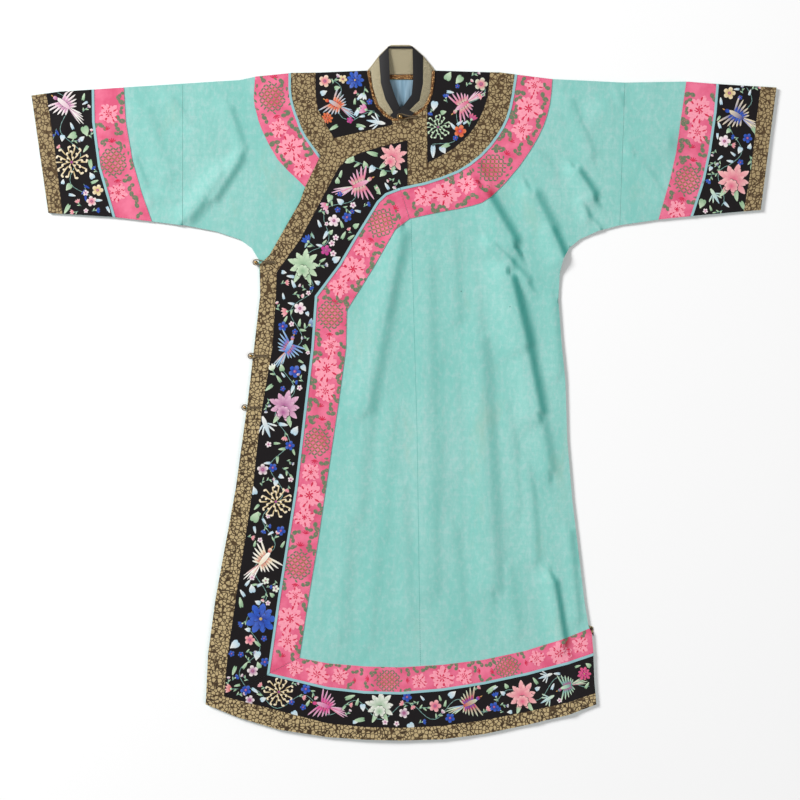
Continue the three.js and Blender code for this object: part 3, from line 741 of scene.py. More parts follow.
def peony(bm, x, y, size, angle, inner, outer):
    """Pointed petals in three rings; the petals' ends are uneven."""
    for ring, (share, count) in enumerate(((1.0, 9), (0.68, 7), (0.40, 5))):
        for i in range(count):
            turn = angle + ring * 25 + 360 * i / count
            reach = size * 0.48 * share * (1.0 - 0.12 * (i % 3 == 1))
            wide = 0.42 * reach + 1.0
            foot = polar(x, y, size * 0.03, turn)
            voided(bm, *foot, reach, wide, turn, inner, outer, 0.35, 0.35, 0.25 * ring)
    petal(bm, x - size * 0.05, y, size * 0.1, size * 0.1, 0, gold_floss, gold_floss, 0, 0, 1.0)


def chrysanthemum(bm, x, y, size, angle, inner, outer):
    """Slender petals, each with a rounded end that curls to one side."""
    petal(bm, x - size * 0.04, y, size * 0.08, size * 0.08, 0, mauve, mauve)
    for start, end, count in ((0.24, 0.47, 14), (0.13, 0.30, 10), (0.04, 0.15, 6)):
        for i in range(count):
            turn = angle + 110 * start + 360 * i / count
            reach = size * (end - start) * (1.0 - 0.18 * (i % 2))
            foot = polar(x, y, size * start, turn)
            voided(bm, *foot, reach, size * 0.036, turn, inner, outer, 0.3)
            curl = turn + (80 if i % 3 else -80)
            tip = polar(*polar(*foot, reach * 0.94, turn), -size * 0.02, curl)
            petal(bm, *tip, size * 0.10 * (0.6 + end), size * 0.062, curl, outer, outer, 0.2, 0.0, 0.14, 8)


def lotus(bm, x, y, size, angle, inner, outer):
    """Long pointed petals all round, over them a cup of short ones, and leaves under them."""
    for turn in (-150, 160):
        leaf(bm, *polar(x, y, size * 0.2, angle + turn), size * 0.42, angle + turn)
    for ring, (turns, reach, wide) in enumerate((
        (range(0, 360, 40), 0.52, 0.19), ((-100, -60, -20, 20, 60, 100), 0.38, 0.17),
    )):
        for i, turn in enumerate(turns):
            long = size * reach * (1.0 - 0.14 * (i % 2))
            aim = angle + turn + 8 * ring
            voided(bm, x, y, long, size * wide, aim, inner, outer, 0.15, 0.62, 0.22 * ring)
    foot = polar(x, y, -size * 0.18, angle)
    for turn in (-140, -100, -60, 60, 100, 140, -20, 20):
        voided(bm, *foot, size * 0.2, size * 0.12, angle + turn, inner, outer, 0.3, 0.1, 0.5)


def bird(bm, x, y, size, angle, body, wing, tail):
    """A bird in flight: swept wings, long narrow tail feathers, slim body, head and beak."""
    for i in range(5):
        long = size * (0.62 - 0.07 * abs(i - 1))
        color = (tail, wing, body)[i % 3]
        root = polar(x, y, -size * 0.08, angle)
        petal(bm, *root, long, size * 0.04, angle + 166 + 7 * i, color, wing, 0.2, 0.3)
    for side, sweep in ((-1, 78), (1, 58)):
        for i in range(6):
            root = polar(x, y, size * (0.14 - 0.045 * i), angle)
            turn = angle + side * (sweep + 11 * i)
            long = size * (0.50 - 0.055 * i)
            voided(bm, *root, long, size * 0.052, turn, body, wing, 0.1, 0.3, 0.05)
        for i in range(4):
            root = polar(x, y, size * (0.12 - 0.06 * i), angle)
            turn = angle + side * (sweep + 6 + 12 * i)
            petal(bm, *root, size * 0.2, size * 0.07, turn, tail, body, 0.1, 0.0, 0.3)
    voided(bm, *polar(x, y, -size * 0.16, angle), size * 0.46, size * 0.13, angle, body, wing, 0.1, 0.2, 0.4)
    head = polar(x, y, size * 0.26, angle + 4)
    voided(bm, *head, size * 0.13, size * 0.10, angle + 10, tail, body, 0.0, 0.0, 0.5)
    beak = polar(*head, size * 0.11, angle + 8)
    petal(bm, *beak, size * 0.1, size * 0.03, angle + 4, orange, gold_floss, -0.4)


def dragonfly(bm, x, y, size, angle, inner, outer):
    """A long body with narrow wings laid back."""
    root = polar(x, y, size * 0.12, angle)
    for side in (-1, 1):
        for turn in (150, 125):
            petal(bm, *root, size * 0.5, size * 0.07, angle + side * turn, inner, outer)
    voided(bm, *polar(x, y, -size * 0.5, angle), size * 0.9, size * 0.17, angle, inner, outer, 0.5, 0.2, 0.1)


def bud(bm, x, y, size, angle, inner, outer):
    """A half-open flower on a short stem, with a leaf."""
    stem(bm, [polar(x, y, -size * 0.8, angle + 12), (x, y)])
    leaf(bm, *polar(x, y, -size * 0.5, angle + 12), size * 0.6, angle + 65)
    for turn in (-38, 38, -14, 16):
        voided(bm, x, y, size * 0.78, size * 0.27, angle + turn, inner, outer, 0.1, 0.3)
    petal(bm, *polar(x, y, -1.5, angle), size * 0.3, size * 0.26, angle, leaf_green, leaf_pale, 0.1, 0.0, 0.4)


# Each band's main figures: what it is, where its middle is, its size in mm, its turn and its two
# colours, or three for a bird.
figures = {
    "front_band": [
        (lotus, -22, 470, 58, 60, rose, pale_pink),
        (leaf, -52, 474, 24, 165),
        (heart, -60, 452, 17, 235),
        (bud, -100, 462, 24, 150, leaf_green, leaf_pale),
        (bird, -92, 414, 80, 22, rose, lilac, leaf_pale),
        (leaf, -58, 414, 22, 300),
        (heart, -146, 395, 17, 250, leaf_green, leaf_pale),
        (bud, -152, 376, 20, 215, rose, lilac),
        (plum, -140, 343, 26, 10, lilac, white),
        (plum, -114, 350, 20, 40, deep_blue, blue),
        (sprig, -184, 322, 30, 250, leaf_green, sky),
        (bud, -190, 300, 20, 130, deep_blue, blue),
        (lotus, -200, 254, 66, 80, leaf_green, leaf_pale),
        (plum, -156, 284, 22, 0, mauve, magenta),
        (heart, -142, 262, 18, 30),
        (plum, -208, 168, 26, 0, lilac, white),
        (bud, -232, 162, 18, 190, rose, pale_pink),
        (plum, -242, 132, 20, 150, deep_blue, blue),
        (bud, -190, 134, 20, 30, deep_blue, sky),
        (bird, -232, 88, 70, 60, blue, sky, orange),
        (leaf, -200, 96, 22, 300),
        (bud, -262, 44, 18, 110, leaf_pale, white),
        (plum, -218, 42, 26, 60, deep_blue, blue),
        (leaf, -262, 16, 20, 220),
        (lotus, -238, -28, 66, 75, mauve, lilac),
        (dragonfly, -276, -66, 52, 110, sky, white),
        (heart, -222, -84, 20, 60),
        (plum, -228, -106, 20, 0, deep_blue, blue),
        (plum, -282, -154, 24, 20, mauve, white),
        (plum, -262, -150, 18, 50, deep_blue, blue),
        (sprig, -244, -150, 26, 320),
        (chrysanthemum, -256, -218, 68, 0, gold_floss, cream),
        (heart, -298, -204, 18, 100),
        (heart, -302, -258, 24, 60, leaf_green, leaf_pale),
        (plum, -246, -276, 20, 60, deep_blue, blue),
        (bird, -282, -336, 78, 50, cream, white, crimson),
        (plum, -276, -376, 15, 30, leaf_pale, white),
        (plum, -256, -392, 15, 0, leaf_pale, white),
        (heart, -302, -400, 18, 100),
        (peony, -286, -452, 62, 0, deep_blue, blue),
        (leaf, -324, -430, 22, 100),
        (plum, -308, -494, 22, 0, rose, pale_pink),
        (heart, -330, -498, 22, 215),
        (heart, -292, -516, 20, 260),
        (plum, -278, -538, 18, 60, deep_blue, blue),
        (plum, -302, -556, 24, 30, mauve, white),
        (leaf, -336, -546, 20, 250),
        (bud, -344, -592, 18, 170, crimson, pale_pink),
    ],
    "hem_band": [
        (plum, -316, -594, 22, 190, deep_blue, blue),
        (plum, -308, -614, 20, 0, mauve, white),
        (chrysanthemum, -250, -598, 62, 0, gold_floss, cream),
        (heart, -222, -636, 18, 300),
        (plum, -196, -592, 20, 330, deep_blue, blue),
        (bird, -156, -626, 70, 160, magenta, lilac, rose),
        (leaf, -118, -612, 22, 20),
        (lotus, -48, -626, 60, 85, leaf_green, white),
        (leaf, -78, -652, 24, 190),
        (plum, 0, -640, 22, 0, mauve, white),
        (heart, 10, -660, 20, 300),
        (plum, 6, -608, 20, 60, deep_blue, blue),
        (plum, 62, -626, 26, 0, rose, pale_pink),
        (heart, 90, -608, 18, 40),
        (plum, 92, -650, 20, 340, deep_blue, blue),
        (bird, 128, -622, 70, 25, crimson, leaf_pale, blue),
        (leaf, 166, -600, 24, 40),
        (plum, 180, -628, 20, 70, deep_blue, blue),
        (lotus, 236, -606, 62, 95, rose, pale_pink),
        (dragonfly, 284, -566, 34, 20, sky, white),
        (dragonfly, 288, -612, 36, 30, sky, leaf_pale),
        (bird, 328, -586, 58, 200, teal, leaf_pale, magenta),
        (peony, 360, -562, 28, 0, magenta, rose),
    ],
    "yoke_left_band": [
        (heart, 84, 624, 20, 60, leaf_green, leaf_pale),
        (heart, 116, 632, 20, 230, leaf_green, leaf_pale),
        (plum, 154, 616, 28, 0, rose, leaf_pale),
        (bird, 120, 576, 72, 215, rose, lilac, leaf_pale),
        (heart, 62, 582, 20, 260),
        (chrysanthemum, 68, 530, 52, 0, leaf_green, leaf_pale),
        (plum, 112, 522, 26, 0, crimson, orange),
        (bud, 134, 544, 18, 60, mauve, rose),
        (leaf, 58, 494, 26, 270, sky, white),
        (heart, 74, 492, 18, 300),
        (leaf, 92, 496, 22, 200),
    ],
    "yoke_right_band": [
        (plum, -158, 622, 26, 0, rose, cream),
        (peony, -98, 624, 36, 0, deep_blue, blue),
        (plum, -122, 626, 18, 130, gold_floss, cream),
        (bud, -80, 598, 18, 250, sky, white),
        (bird, -134, 574, 66, 150, orange, sky, crimson),
        (bud, -74, 564, 22, 160, magenta, lilac),
        (leaf, -98, 552, 22, 60, sky, white),
        (plum, -108, 544, 14, 0, mauve, magenta),
        (dragonfly, -54, 540, 44, 350, sky, white),
        (leaf, -132, 534, 20, 210),
        (leaf, -96, 534, 20, 350),
        (peony, -154, 548, 24, 0, crimson, orange),
    ],
    "cuff_right_band": [
        (bird, -676, 574, 76, 140, lilac, white, mauve),
        (sprig, -694, 528, 30, 250, deep_blue, blue),
        (heart, -640, 532, 22, 290, leaf_green, leaf_pale),
        (heart, -654, 516, 20, 200, leaf_green, leaf_pale),
        (chrysanthemum, -664, 460, 72, 0, gold_floss, cream),
        (leaf, -628, 466, 22, 280),
        (sprig, -640, 418, 30, 280, deep_blue, blue),
        (plum, -612, 404, 24, 0, gold_floss, cream),
        (plum, -624, 382, 22, 30, rose, white),
        (leaf, -668, 376, 22, 240),
    ],
    "cuff_left_band": [
        (plum, 650, 598, 26, 0, gold_floss, cream),
        (bird, 668, 552, 76, 150, deep_blue, cream, blue),
        (leaf, 694, 534, 24, 300),
        (plum, 640, 502, 26, 0, lilac, white),
        (plum, 686, 508, 20, 60, deep_blue, blue),
        (lotus, 658, 424, 70, 70, rose, pale_pink),
        (dragonfly, 620, 394, 40, 120, sky, leaf_pale),
        (heart, 598, 386, 20, 250, leaf_green, leaf_pale),
        (leaf, 672, 382, 24, 300),
        (sprig, 690, 474, 26, 280),
    ],
}

# The winding stem that joins each band's figures.
vines = {
    "front_band": [
        (-6, 470), (-60, 444), (-110, 400), (-150, 346), (-180, 280), (-206, 180), (-228, 70), (-240, -40),
        (-250, -140), (-264, -240), (-280, -340), (-296, -440), (-308, -540), (-318, -590),
    ],
    "hem_band": [
        (-330, -604), (-250, -614), (-160, -626), (-50, -636), (60, -636), (150, -624), (240, -604),
        (368, -570),
    ],
    "yoke_left_band": [(156, 628), (132, 574), (104, 530), (62, 484)],
    "yoke_right_band": [(-150, 628), (-134, 580), (-100, 552), (-50, 540)],
    "cuff_right_band": [(-694, 600), (-668, 520), (-660, 450), (-628, 366)],
    "cuff_left_band": [(684, 610), (668, 540), (652, 450), (620, 380)],
}


def inside(corners, x, y):
    """Whether a point lies inside an outline."""
    crossings = 0
    for (x0, y0), (x1, y1) in zip(corners, corners[1:] + corners[:1]):
        if (y0 > y) != (y1 > y) and x < (x1 - x0) * (y - y0) / (y1 - y0) + x0:
            crossings += 1
    return crossings % 2 == 1


def corners_of(name):
    outline = outline_of(name)
    corners = [(v.co.x / mm, v.co.y / mm) for v in max(outline.faces, key=lambda f: f.calc_area()).verts]
    outline.free()
    return corners


def path_length(path):
    return sum(math.hypot(b[0] - a[0], b[1] - a[1]) for a, b in zip(path, path[1:]))


def path_point(path, distance):
    """Place and direction at a distance along a path."""
    for (x0, y0), (x1, y1) in zip(path, path[1:]):
        step = math.hypot(x1 - x0, y1 - y0)
        if distance <= step or (x1, y1) == path[-1]:
            share = distance / step
            return x0 + share * (x1 - x0), y0 + share * (y1 - y0), math.degrees(math.atan2(y1 - y0, x1 - x0))
        distance -= step


def growth(bm, x, y, size, angle, chance):
    """One leaf, bud or small flower at the end of a side stem."""
    kind = chance.random()
    if kind < 0.34:
        leaf(bm, x, y, size, angle, *chance.choice([(leaf_green, leaf_pale), (sky, white)]))
    elif kind < 0.50:
        heart(bm, x, y, size * 0.85, angle, *chance.choice([(leaf_green, leaf_pale), (sky, white)]))
    elif kind < 0.72:
        sprig(bm, x, y, size * 1.25, angle, end=chance.choice([None, deep_blue, rose, mauve]))
    elif kind < 0.86:
        colors = chance.choice([(deep_blue, blue), (rose, pale_pink)])
        bud(bm, *polar(x, y, size * 0.4, angle), size * 0.7, angle, *colors)
    else:
        colors = chance.choice([(lilac, white), (deep_blue, blue)])
        plum(bm, *polar(x, y, size * 0.5, angle), size * 0.75, angle, *colors)


def vine(bm, path, corners, chance, wave=104.0, sway=17.0, step=8.0):
    """A winding stem. Returns the places, sizes and turns of the growths on each side of it in turn."""
    count = int(path_length(path) / step)
    spots = []
    for k in range(count + 1):
        x, y, angle = path_point(path, k * step)
        spots.append(polar(x, y, sway * math.sin(2 * math.pi * k * step / wave), angle + 90))
    stem(bm, spots)
    growths = []
    for k in range(1, count, 2):
        (x0, y0), (x1, y1) = spots[k - 1], spots[k]
        angle = math.degrees(math.atan2(y1 - y0, x1 - x0)) + (50 if k % 4 == 1 else -50)
        size = chance.uniform(14, 20)
        tip = polar(x1, y1, size * 1.25, angle)
        if inside(corners, *tip) and inside(corners, *polar(*tip, 4, angle)):
            growths.append((*polar(x1, y1, size * 0.5, angle), size, angle))
    return growths


def clear_of(taken, x, y, size):
    return all(math.hypot(x - row[0], y - row[1]) > 0.42 * row[2] + 0.36 * size for row in taken)


def fill(bm, corners, taken, chance, spacing=11):
    """Small growths between a band's main figures."""
    xs, ys = [c[0] for c in corners], [c[1] for c in corners]
    for row in range(int((max(ys) - min(ys)) / spacing) + 1):
        for column in range(int((max(xs) - min(xs)) / spacing) + 1):
            x = min(xs) + (column + 0.5 * (row % 2)) * spacing + chance.uniform(-2, 2)
            y = min(ys) + row * spacing + chance.uniform(-2, 2)
            angle, size = chance.uniform(0, 360), chance.uniform(12, 18)
            ends = [polar(x, y, 6, angle + 120), polar(x, y, 6, angle - 120), polar(x, y, size * 1.3, angle)]
            middle = polar(x, y, size * 0.5, angle)
            if all(inside(corners, *place) for place in ends) and clear_of(taken, *middle, size):
                taken.append((*middle, size))
                growth(bm, x, y, size, angle, chance)


def nearest_on(corners, x, y):
    """The nearest point of an outline."""
    best = None
    for (x0, y0), (x1, y1) in zip(corners, corners[1:] + corners[:1]):
        dx, dy = x1 - x0, y1 - y0
        share = min(max(((x - x0) * dx + (y - y0) * dy) / (dx * dx + dy * dy), 0), 1)
        spot = (x0 + share * dx, y0 + share * dy)
        far = math.hypot(spot[0] - x, spot[1] - y)
        if best is None or far < best[0]:
            best = (far, spot)
    return best[1]


def settle(bm, corners, level, height):
    """Lays needlework on a surface. What crosses the strip's edge is cut off there by its seam."""
    relief = bm.verts.layers.float["relief"]
    for vert in bm.verts if corners else ():
        x, y = vert.co.x / mm, vert.co.y / mm
        if not inside(corners, x, y):
            x, y = nearest_on(corners, x, y)
            vert.co.x, vert.co.y = x * mm, y * mm
    bmesh.ops.dissolve_degenerate(bm, dist=1e-6, edges=bm.edges[:])
    xs = np.array([vert.co.x for vert in bm.verts])
    ys = np.array([vert.co.y for vert in bm.verts])
    for vert, z in zip(bm.verts, level(xs, ys)):
        vert.co.z = z + height + vert[relief] * mm


chance = random.Random(11)
needlework_height = trim_height + 0.3 * mm
for band, rows in figures.items():
    bm = new_needlework()
    corners = corners_of(band)
    taken = [(row[1], row[2], row[3]) for row in rows]
    for x, y, size, angle in vine(bm, vines[band], corners, chance):
        if clear_of(taken, x, y, size):
            taken.append((x, y, size))
            growth(bm, *polar(x, y, -size * 0.5, angle), size, angle, chance)
    for figure, x, y, size, angle, *colors in rows:
        figure(bm, x, y, size, angle, *colors)
    fill(bm, corners, taken, chance)
    settle(bm, corners, level_at(band), needlework_height)
    finish_piece(new_object(band + "_embroidery", bm), floss)

# ---------------------------------------------------------------- stitching
# A running stitch of silk thread holds both edges of each binding and each ribbon.
stitch_silk, stitch_tree, stitch_shader = paint("stitching", white, 0.6)
stitch_color = node(stitch_tree, "ShaderNodeVertexColor", layer_name="thread")
stitch_tree.links.new(stitch_color.outputs["Color"], stitch_shader.inputs["Base Color"])
stitch_pitch, stitch_length, stitch_inset = 5.0, 2.6, 1.9
stitch_threads = {"binding": (0.16, 0.10, 0.04), "ribbon": (0.50, 0.02, 0.08)}
for name, kind in trims:
    if kind not in stitch_threads:
        continue
    bm = new_needlework()
    corners = corners_of(name)
    thread = stitch_threads[kind]
    for (x0, y0), (x1, y1) in zip(corners, corners[1:] + corners[:1]):
        side = math.hypot(x1 - x0, y1 - y0)
        angle = math.degrees(math.atan2(y1 - y0, x1 - x0))
        for number in range(int((side - stitch_length) / stitch_pitch) + 1):
            x, y = polar(x0, y0, 0.6 + number * stitch_pitch, angle)
            x, y = polar(x, y, stitch_inset, angle + 90)
            if inside(corners, x, y):
                petal(bm, x, y, stitch_length, 0.5, angle, thread, thread, 0, 0, 0, 6, 0.15)
    settle(bm, corners, level_at(name), trim_height + 0.05 * mm)
    finish_piece(new_object(name + "_stitching", bm), stitch_silk)

# The overlap is seamed to the left half down the centre front. Three small holes are worn in the silk.
seam_thread = (0.05, 0.30, 0.27)
centre_front = [(12.8, 374), (14, 351), (19, 172), (26, -75), (31, -420), (33, -546)]
holes = [(114, 201, 2.2), (211, 170, 2.0), (96, 236, 1.2)]
bm = new_needlework()
seam_pitch = 4.0
for k in range(int(path_length(centre_front) / seam_pitch)):
    x, y, angle = path_point(centre_front, k * seam_pitch)
    petal(bm, x, y, 3.7, 0.8, angle, seam_thread, seam_thread, 0, 0, 0, 6, 0.1)
for x, y, size in holes:
    petal(bm, x, y, size, size * 0.8, 70, shade, shade, 0, 0, 0, 8, 0.05)
settle(bm, None, front_level, 0.12 * mm)
finish_piece(new_object("centre_front_seam", bm), stitch_silk)

# ---------------------------------------------------------------- ribbon figures
# The pink ribbons are woven with a repeat: an olive medallion, then three pale blossoms with deep
# hearts in a row, small deep flowers and pairs of leaves.
woven_pale, woven_deep = (0.90, 0.33, 0.42), (0.62, 0.012, 0.06)
woven_leaf, woven_olive = (0.12, 0.19, 0.105), (0.27, 0.18, 0.07)
figure_silk, figure_tree, figure_shader = paint("woven_figures", woven_pale, 0.5, 0.2)
figure_color = node(figure_tree, "ShaderNodeVertexColor", layer_name="thread")
worn = ranged(figure_tree, mottling(figure_tree, (260, 260, 1), 3.0), 0.50, 0.75, 0.0, 0.6)
figure_tone = mixed(figure_tree, worn, figure_color.outputs["Color"], ribbon_pink)
figure_tree.links.new(figure_tone, figure_shader.inputs["Base Color"])
woven(figure_tree, figure_shader, 0.0008, 0.35)

# Middles of the ribbons, in mm, from the shoulder down or from the top of the cuff.
ribbon_paths = {
    "front_ribbon": [
        (-8, 381), (-36, 354), (-83, 276), (-146, 176), (-150, 90), (-162, -20), (-174, -105), (-187, -193),
        (-205, -310), (-221, -411), (-240, -530),
    ],
    "hem_ribbon": [
        (-232, -551), (-152, -567), (-80, -574), (-8, -576), (76, -570), (160, -558), (244, -540),
        (328, -516), (372, -500),
    ],
    "yoke_left_ribbon": [
        (259, 632), (254, 595), (246, 552), (226, 512), (192, 464), (142, 418), (100, 400), (51, 390),
        (8, 380),
    ],
    "yoke_right_ribbon": [(-262, 634), (-265, 598), (-260, 566), (-249, 534), (-228, 492), (-196, 446)],
    "cuff_left_ribbon": [(596, 620), (590, 566), (578, 481), (566, 424), (545, 350)],
    "cuff_right_ribbon": [(-595, 606), (-592, 541), (-580, 458), (-556, 350)],
}
# How far along each path its medallions lie, with the ones before and after its ends.
medallion_places = {
    "front_ribbon": (-193, 57, 269, 524, 774, 1024), "hem_ribbon": (-48, 202, 442),
    "yoke_left_ribbon": (-43, 207, 457), "yoke_right_ribbon": (-205, 45, 295),
    "cuff_left_ribbon": (-52, 198, 448), "cuff_right_ribbon": (-104, 146, 396),
}


def woven_patch(bm, x, y, length, width, angle, color, lift=0.0, swell=0.3):
    petal(bm, x, y, length, width, angle, color, color, swell, 0.0, lift, 8, 0.06)


def medallion(bm, x, y, size, angle):
    """Basket work of crossed strokes in an oval, longer along the ribbon, framed by leaves."""
    step = size * 0.098
    for row in range(-6, 7):
        for column in range(-6, 7):
            ahead, aside = column * step * 1.1, row * step
            far = math.hypot(ahead / 1.15, aside) / size
            if far > 0.47:
                continue
            cross = 45 if (row + column) % 2 else -45
            foot = polar(*polar(x, y, ahead, angle), aside, angle + 90)
            foot = polar(*foot, -step * 0.62, angle + cross)
            color = woven_leaf if far > 0.34 or (row % 3 == 0 and column % 3 == 0) else woven_olive
            woven_patch(bm, *foot, step * 1.3, step * 0.56, angle + cross, color, 0.0, 0.0)
    for side in (1, -1):
        for turn in (30, 55, 80, 105, 130, 155):
            tip = polar(x, y, size * (0.55 if 60 < turn < 120 else 0.62), angle + side * turn)
            woven_patch(bm, *tip, 9, 4.2, angle + side * (turn + 65), woven_leaf)


def blossom(bm, x, y, size, angle):
    """Pale jagged petals in three rings with deep flecks between them."""
    for ring, (share, count) in enumerate(((1.0, 13), (0.72, 10), (0.42, 6))):
        for i in range(count):
            turn = angle + ring * 17 + 360 * i / count
            reach = size * 0.52 * share * (1.0 - 0.13 * ((i * 5 + ring) % 3))
            woven_patch(bm, x, y, reach, reach * 0.40, turn, woven_pale, 0.05 * ring)
            if (i + ring) % 2 == 0:
                fleck = polar(x, y, reach * 0.55, turn + 12)
                lift = 0.05 * ring + 0.06
                woven_patch(bm, *fleck, reach * 0.34, reach * 0.10 + 0.7, turn, woven_deep, lift)
    for i in range(6):
        woven_patch(bm, *polar(x, y, 1, 60 * i), size * 0.15, size * 0.05, 60 * i + angle, woven_deep, 0.2)


def small_flower(bm, x, y, size, angle):
    for turn in (-60, -30, 0, 30, 60):
        woven_patch(bm, x, y, size, size * 0.2, angle + turn, woven_deep)


def woven_leaves(bm, x, y, size, angle):
    woven_patch(bm, x, y, size * 1.15, size * 0.85, angle, woven_leaf, 0.0, 0.1)
    woven_patch(bm, x, y, size * 0.95, size * 0.75, angle + 115, woven_leaf, 0.0, 0.1)


# What follows each medallion: figure, distance along and across, size and turn.
repeat = [
    (small_flower, 36, 0, 9, 0),
    (blossom, 62, 4, 40, 20),
    (blossom, 108, 0, 60, 0),
    (blossom, 153, 3, 44, 50),
    (small_flower, 186, -4, 9, 180),
    (small_flower, 212, 3, 10, 180),
    (woven_leaves, 8, 33, 9, 10),
    (woven_leaves, 10, -33, 9, 330),
    (woven_leaves, 38, 20, 10, 140),
    (woven_leaves, 44, -19, 11, 230),
    (woven_leaves, 54, -22, 10, 20),
    (woven_leaves, 62, 25, 10, 80),
    (woven_leaves, 76, -21, 12, 300),
    (woven_leaves, 82, 23, 12, 70),
    (woven_leaves, 90, -25, 10, 340),
    (woven_leaves, 96, 26, 9, 10),
    (woven_leaves, 128, 23, 12, 60),
    (woven_leaves, 130, -24, 12, 280),
    (woven_leaves, 142, -21, 11, 250),
    (woven_leaves, 146, 26, 9, 20),
    (woven_leaves, 168, 22, 12, 80),
    (woven_leaves, 170, -20, 12, 300),
    (woven_leaves, 182, 14, 10, 40),
    (woven_leaves, 190, -22, 11, 200),
    (woven_leaves, 198, 18, 10, 120),
    (woven_leaves, 204, -12, 10, 320),
    (woven_leaves, 112, -27, 9, 30),
    (woven_leaves, 114, 28, 9, 340),
    (woven_leaves, 178, -8, 9, 250),
    (woven_leaves, 214, -23, 10, 60),
    (woven_leaves, 220, 21, 10, 220),
]

for ribbon_name, path in ribbon_paths.items():
    bm = new_needlework()
    corners = corners_of(ribbon_name)
    total = path_length(path)
    places = medallion_places[ribbon_name]
    narrow = 0.84 if ribbon_name == "hem_ribbon" else 1.0
    for number, place in enumerate(places):
        flip = -1 if number % 2 else 1
        room_after = places[number + 1] - place if number + 1 < len(places) else 250
        for figure, along, across, size, turn in [(medallion, 0, 0, 58, 0)] + repeat:
            if not 0 <= place + along <= total or along > room_after - 26:
                continue
            x, y, angle = path_point(path, place + along)
            x, y = polar(x, y, across * flip * narrow, angle + 90)
            size *= narrow
            room = size * (0.36 if figure in (medallion, blossom) else 0.45)
            if all(inside(corners, *polar(x, y, room, side)) for side in range(0, 360, 60)):
                figure(bm, x, y, size, angle + turn * flip)
    settle(bm, corners, level_at(ribbon_name), trim_height + 0.22 * mm)
    finish_piece(new_object(ribbon_name + "_figures", bm), figure_silk)

# ---------------------------------------------------------------- collar
# A low standing collar of stiffened gold twill edged in black, pressed flat at its sides. A gold cord
# runs round its foot, and the back neck shows the lining and a row of couched gold cord.
def softened(name, suffix, material, width=0.5 * mm, segments=2):
    """A stiffened or small piece with its CAD shape and rounded edges."""
    bm = bmesh.new()
    bm.from_mesh(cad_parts[name].data)
    bmesh.ops.remove_doubles(bm, verts=bm.verts, dist=1e-5)
    flat = [edge for edge in bm.edges if edge.calc_face_angle(0) < 0.01]
    bmesh.ops.dissolve_edges(bm, edges=flat, use_verts=True)
    sharp = [edge for edge in bm.edges if edge.calc_face_angle(0) > 0.7]
    bmesh.ops.bevel(
        bm, geom=sharp, offset=width, segments=segments, profile=0.6, affect="EDGES", clamp_overlap=True,
    )
    bmesh.ops.triangulate(bm, faces=[face for face in bm.faces if len(face.verts) > 4])
    obj = new_object(f"{name}_{suffix}", bm)
    finish_piece(obj, material, name)
    return obj


def declare_strip(obj, name):
    """Works out the width, length and area of the flat cut of a piece that lies flat, from its outline."""
    outline = outline_of(name)
    width, length, area = strip_cut(outline)
    outline.free()


twill, twill_tree, twill_shader = paint("gold_twill", (0.40, 0.36, 0.24), 0.6, 0.1)
grain = node(
    twill_tree, "ShaderNodeTexWave", [("Vector", stretched(twill_tree, (1, 1, 1), 52.0))],
    bands_direction="X", Scale=0.314 / 0.0026, Distortion=3.0, Detail=3.0, Detail_Scale=2.0,
)
twill_dark, twill_light, twill_bare = (0.30, 0.24, 0.14), (0.52, 0.46, 0.31), (0.23, 0.21, 0.13)
twill_wear = ranged(twill_tree, mottling(twill_tree, (420, 300, 1), 4.0), 0.42, 0.62, 0.0, 0.8)
twill_tone = mixed(twill_tree, ranged(twill_tree, grain.outputs["Fac"], 0.2, 0.9), twill_dark, twill_light)
twill_tone = mixed(twill_tree, twill_wear, twill_tone, twill_bare)
twill_tree.links.new(twill_tone, twill_shader.inputs["Base Color"])
roughen(twill_tree, twill_shader, grain.outputs["Fac"], 0.4, 0.0003)

edging, edging_tree, edging_shader = paint("black_edging", (0.012, 0.011, 0.012), 0.62)
woven(edging_tree, edging_shader, 0.0012, 0.3, turn=12.0)
lining_silk, lining_tree, lining_shader = paint("blue_lining", (0.24, 0.37, 0.47), 0.6, 0.1)
# The lining is darker in the hollows of its folds and lighter on their crests: painted shade and painted
# light that follow the fold relief.
lining_painted_shade, lining_painted_light = (0.17, 0.29, 0.38), (0.28, 0.42, 0.52)
lining_folds = mottling(lining_tree, (120, 14, 1))
lining_tone_with_shade = mixed(lining_tree, ranged(lining_tree, lining_folds, 0.35, 0.65), lining_painted_shade, lining_painted_light)
lining_tree.links.new(lining_tone_with_shade, lining_shader.inputs["Base Color"])
roughen(lining_tree, lining_shader, lining_folds, 0.5, 0.003)

declare_strip(softened("collar", "twill", twill), "collar")
declare_strip(softened("collar_edging", "satin", edging), "collar_edging")
declare_strip(softened("neck_lining", "silk", lining_silk, 0.2 * mm), "neck_lining")


def flat_face(places):
    """One flat face, facing up, from its corners in mm."""
    bm = bmesh.new()
    bm.faces.new([bm.verts.new(Vector((x, y, 0)) * mm) for x, y in places])
    bm.normal_update()
    if bm.faces[:][0].normal.z < 0:
        bmesh.ops.reverse_faces(bm, faces=bm.faces[:])
    return bm


# The front ends of the edging turn down to the neckline and meet at the throat.
edging_ends = [
    [(-28, 554), (-8, 571), (-5, 566), (-6, 549), (-22, 548)],
    [(20, 558), (-3, 572), (-8, 566), (-6, 549), (14, 551)],
]
end_heights = (9.2 * mm, 10.2 * mm)
end_middle, end_slope, end_wall = 0.56, 0.10, 1.2 * mm
for number, (places, top) in enumerate(zip(edging_ends, end_heights)):
    bm = flat_face(places)
    area = area_of(bm)
    lay(bm, 4 * mm, lambda x, y: top + end_slope * (y - end_middle), end_wall, [(0.6 * mm, 0.4 * mm)])
    obj = new_object(f"collar_edging_end_{number}", bm)
    finish_piece(obj, edging)

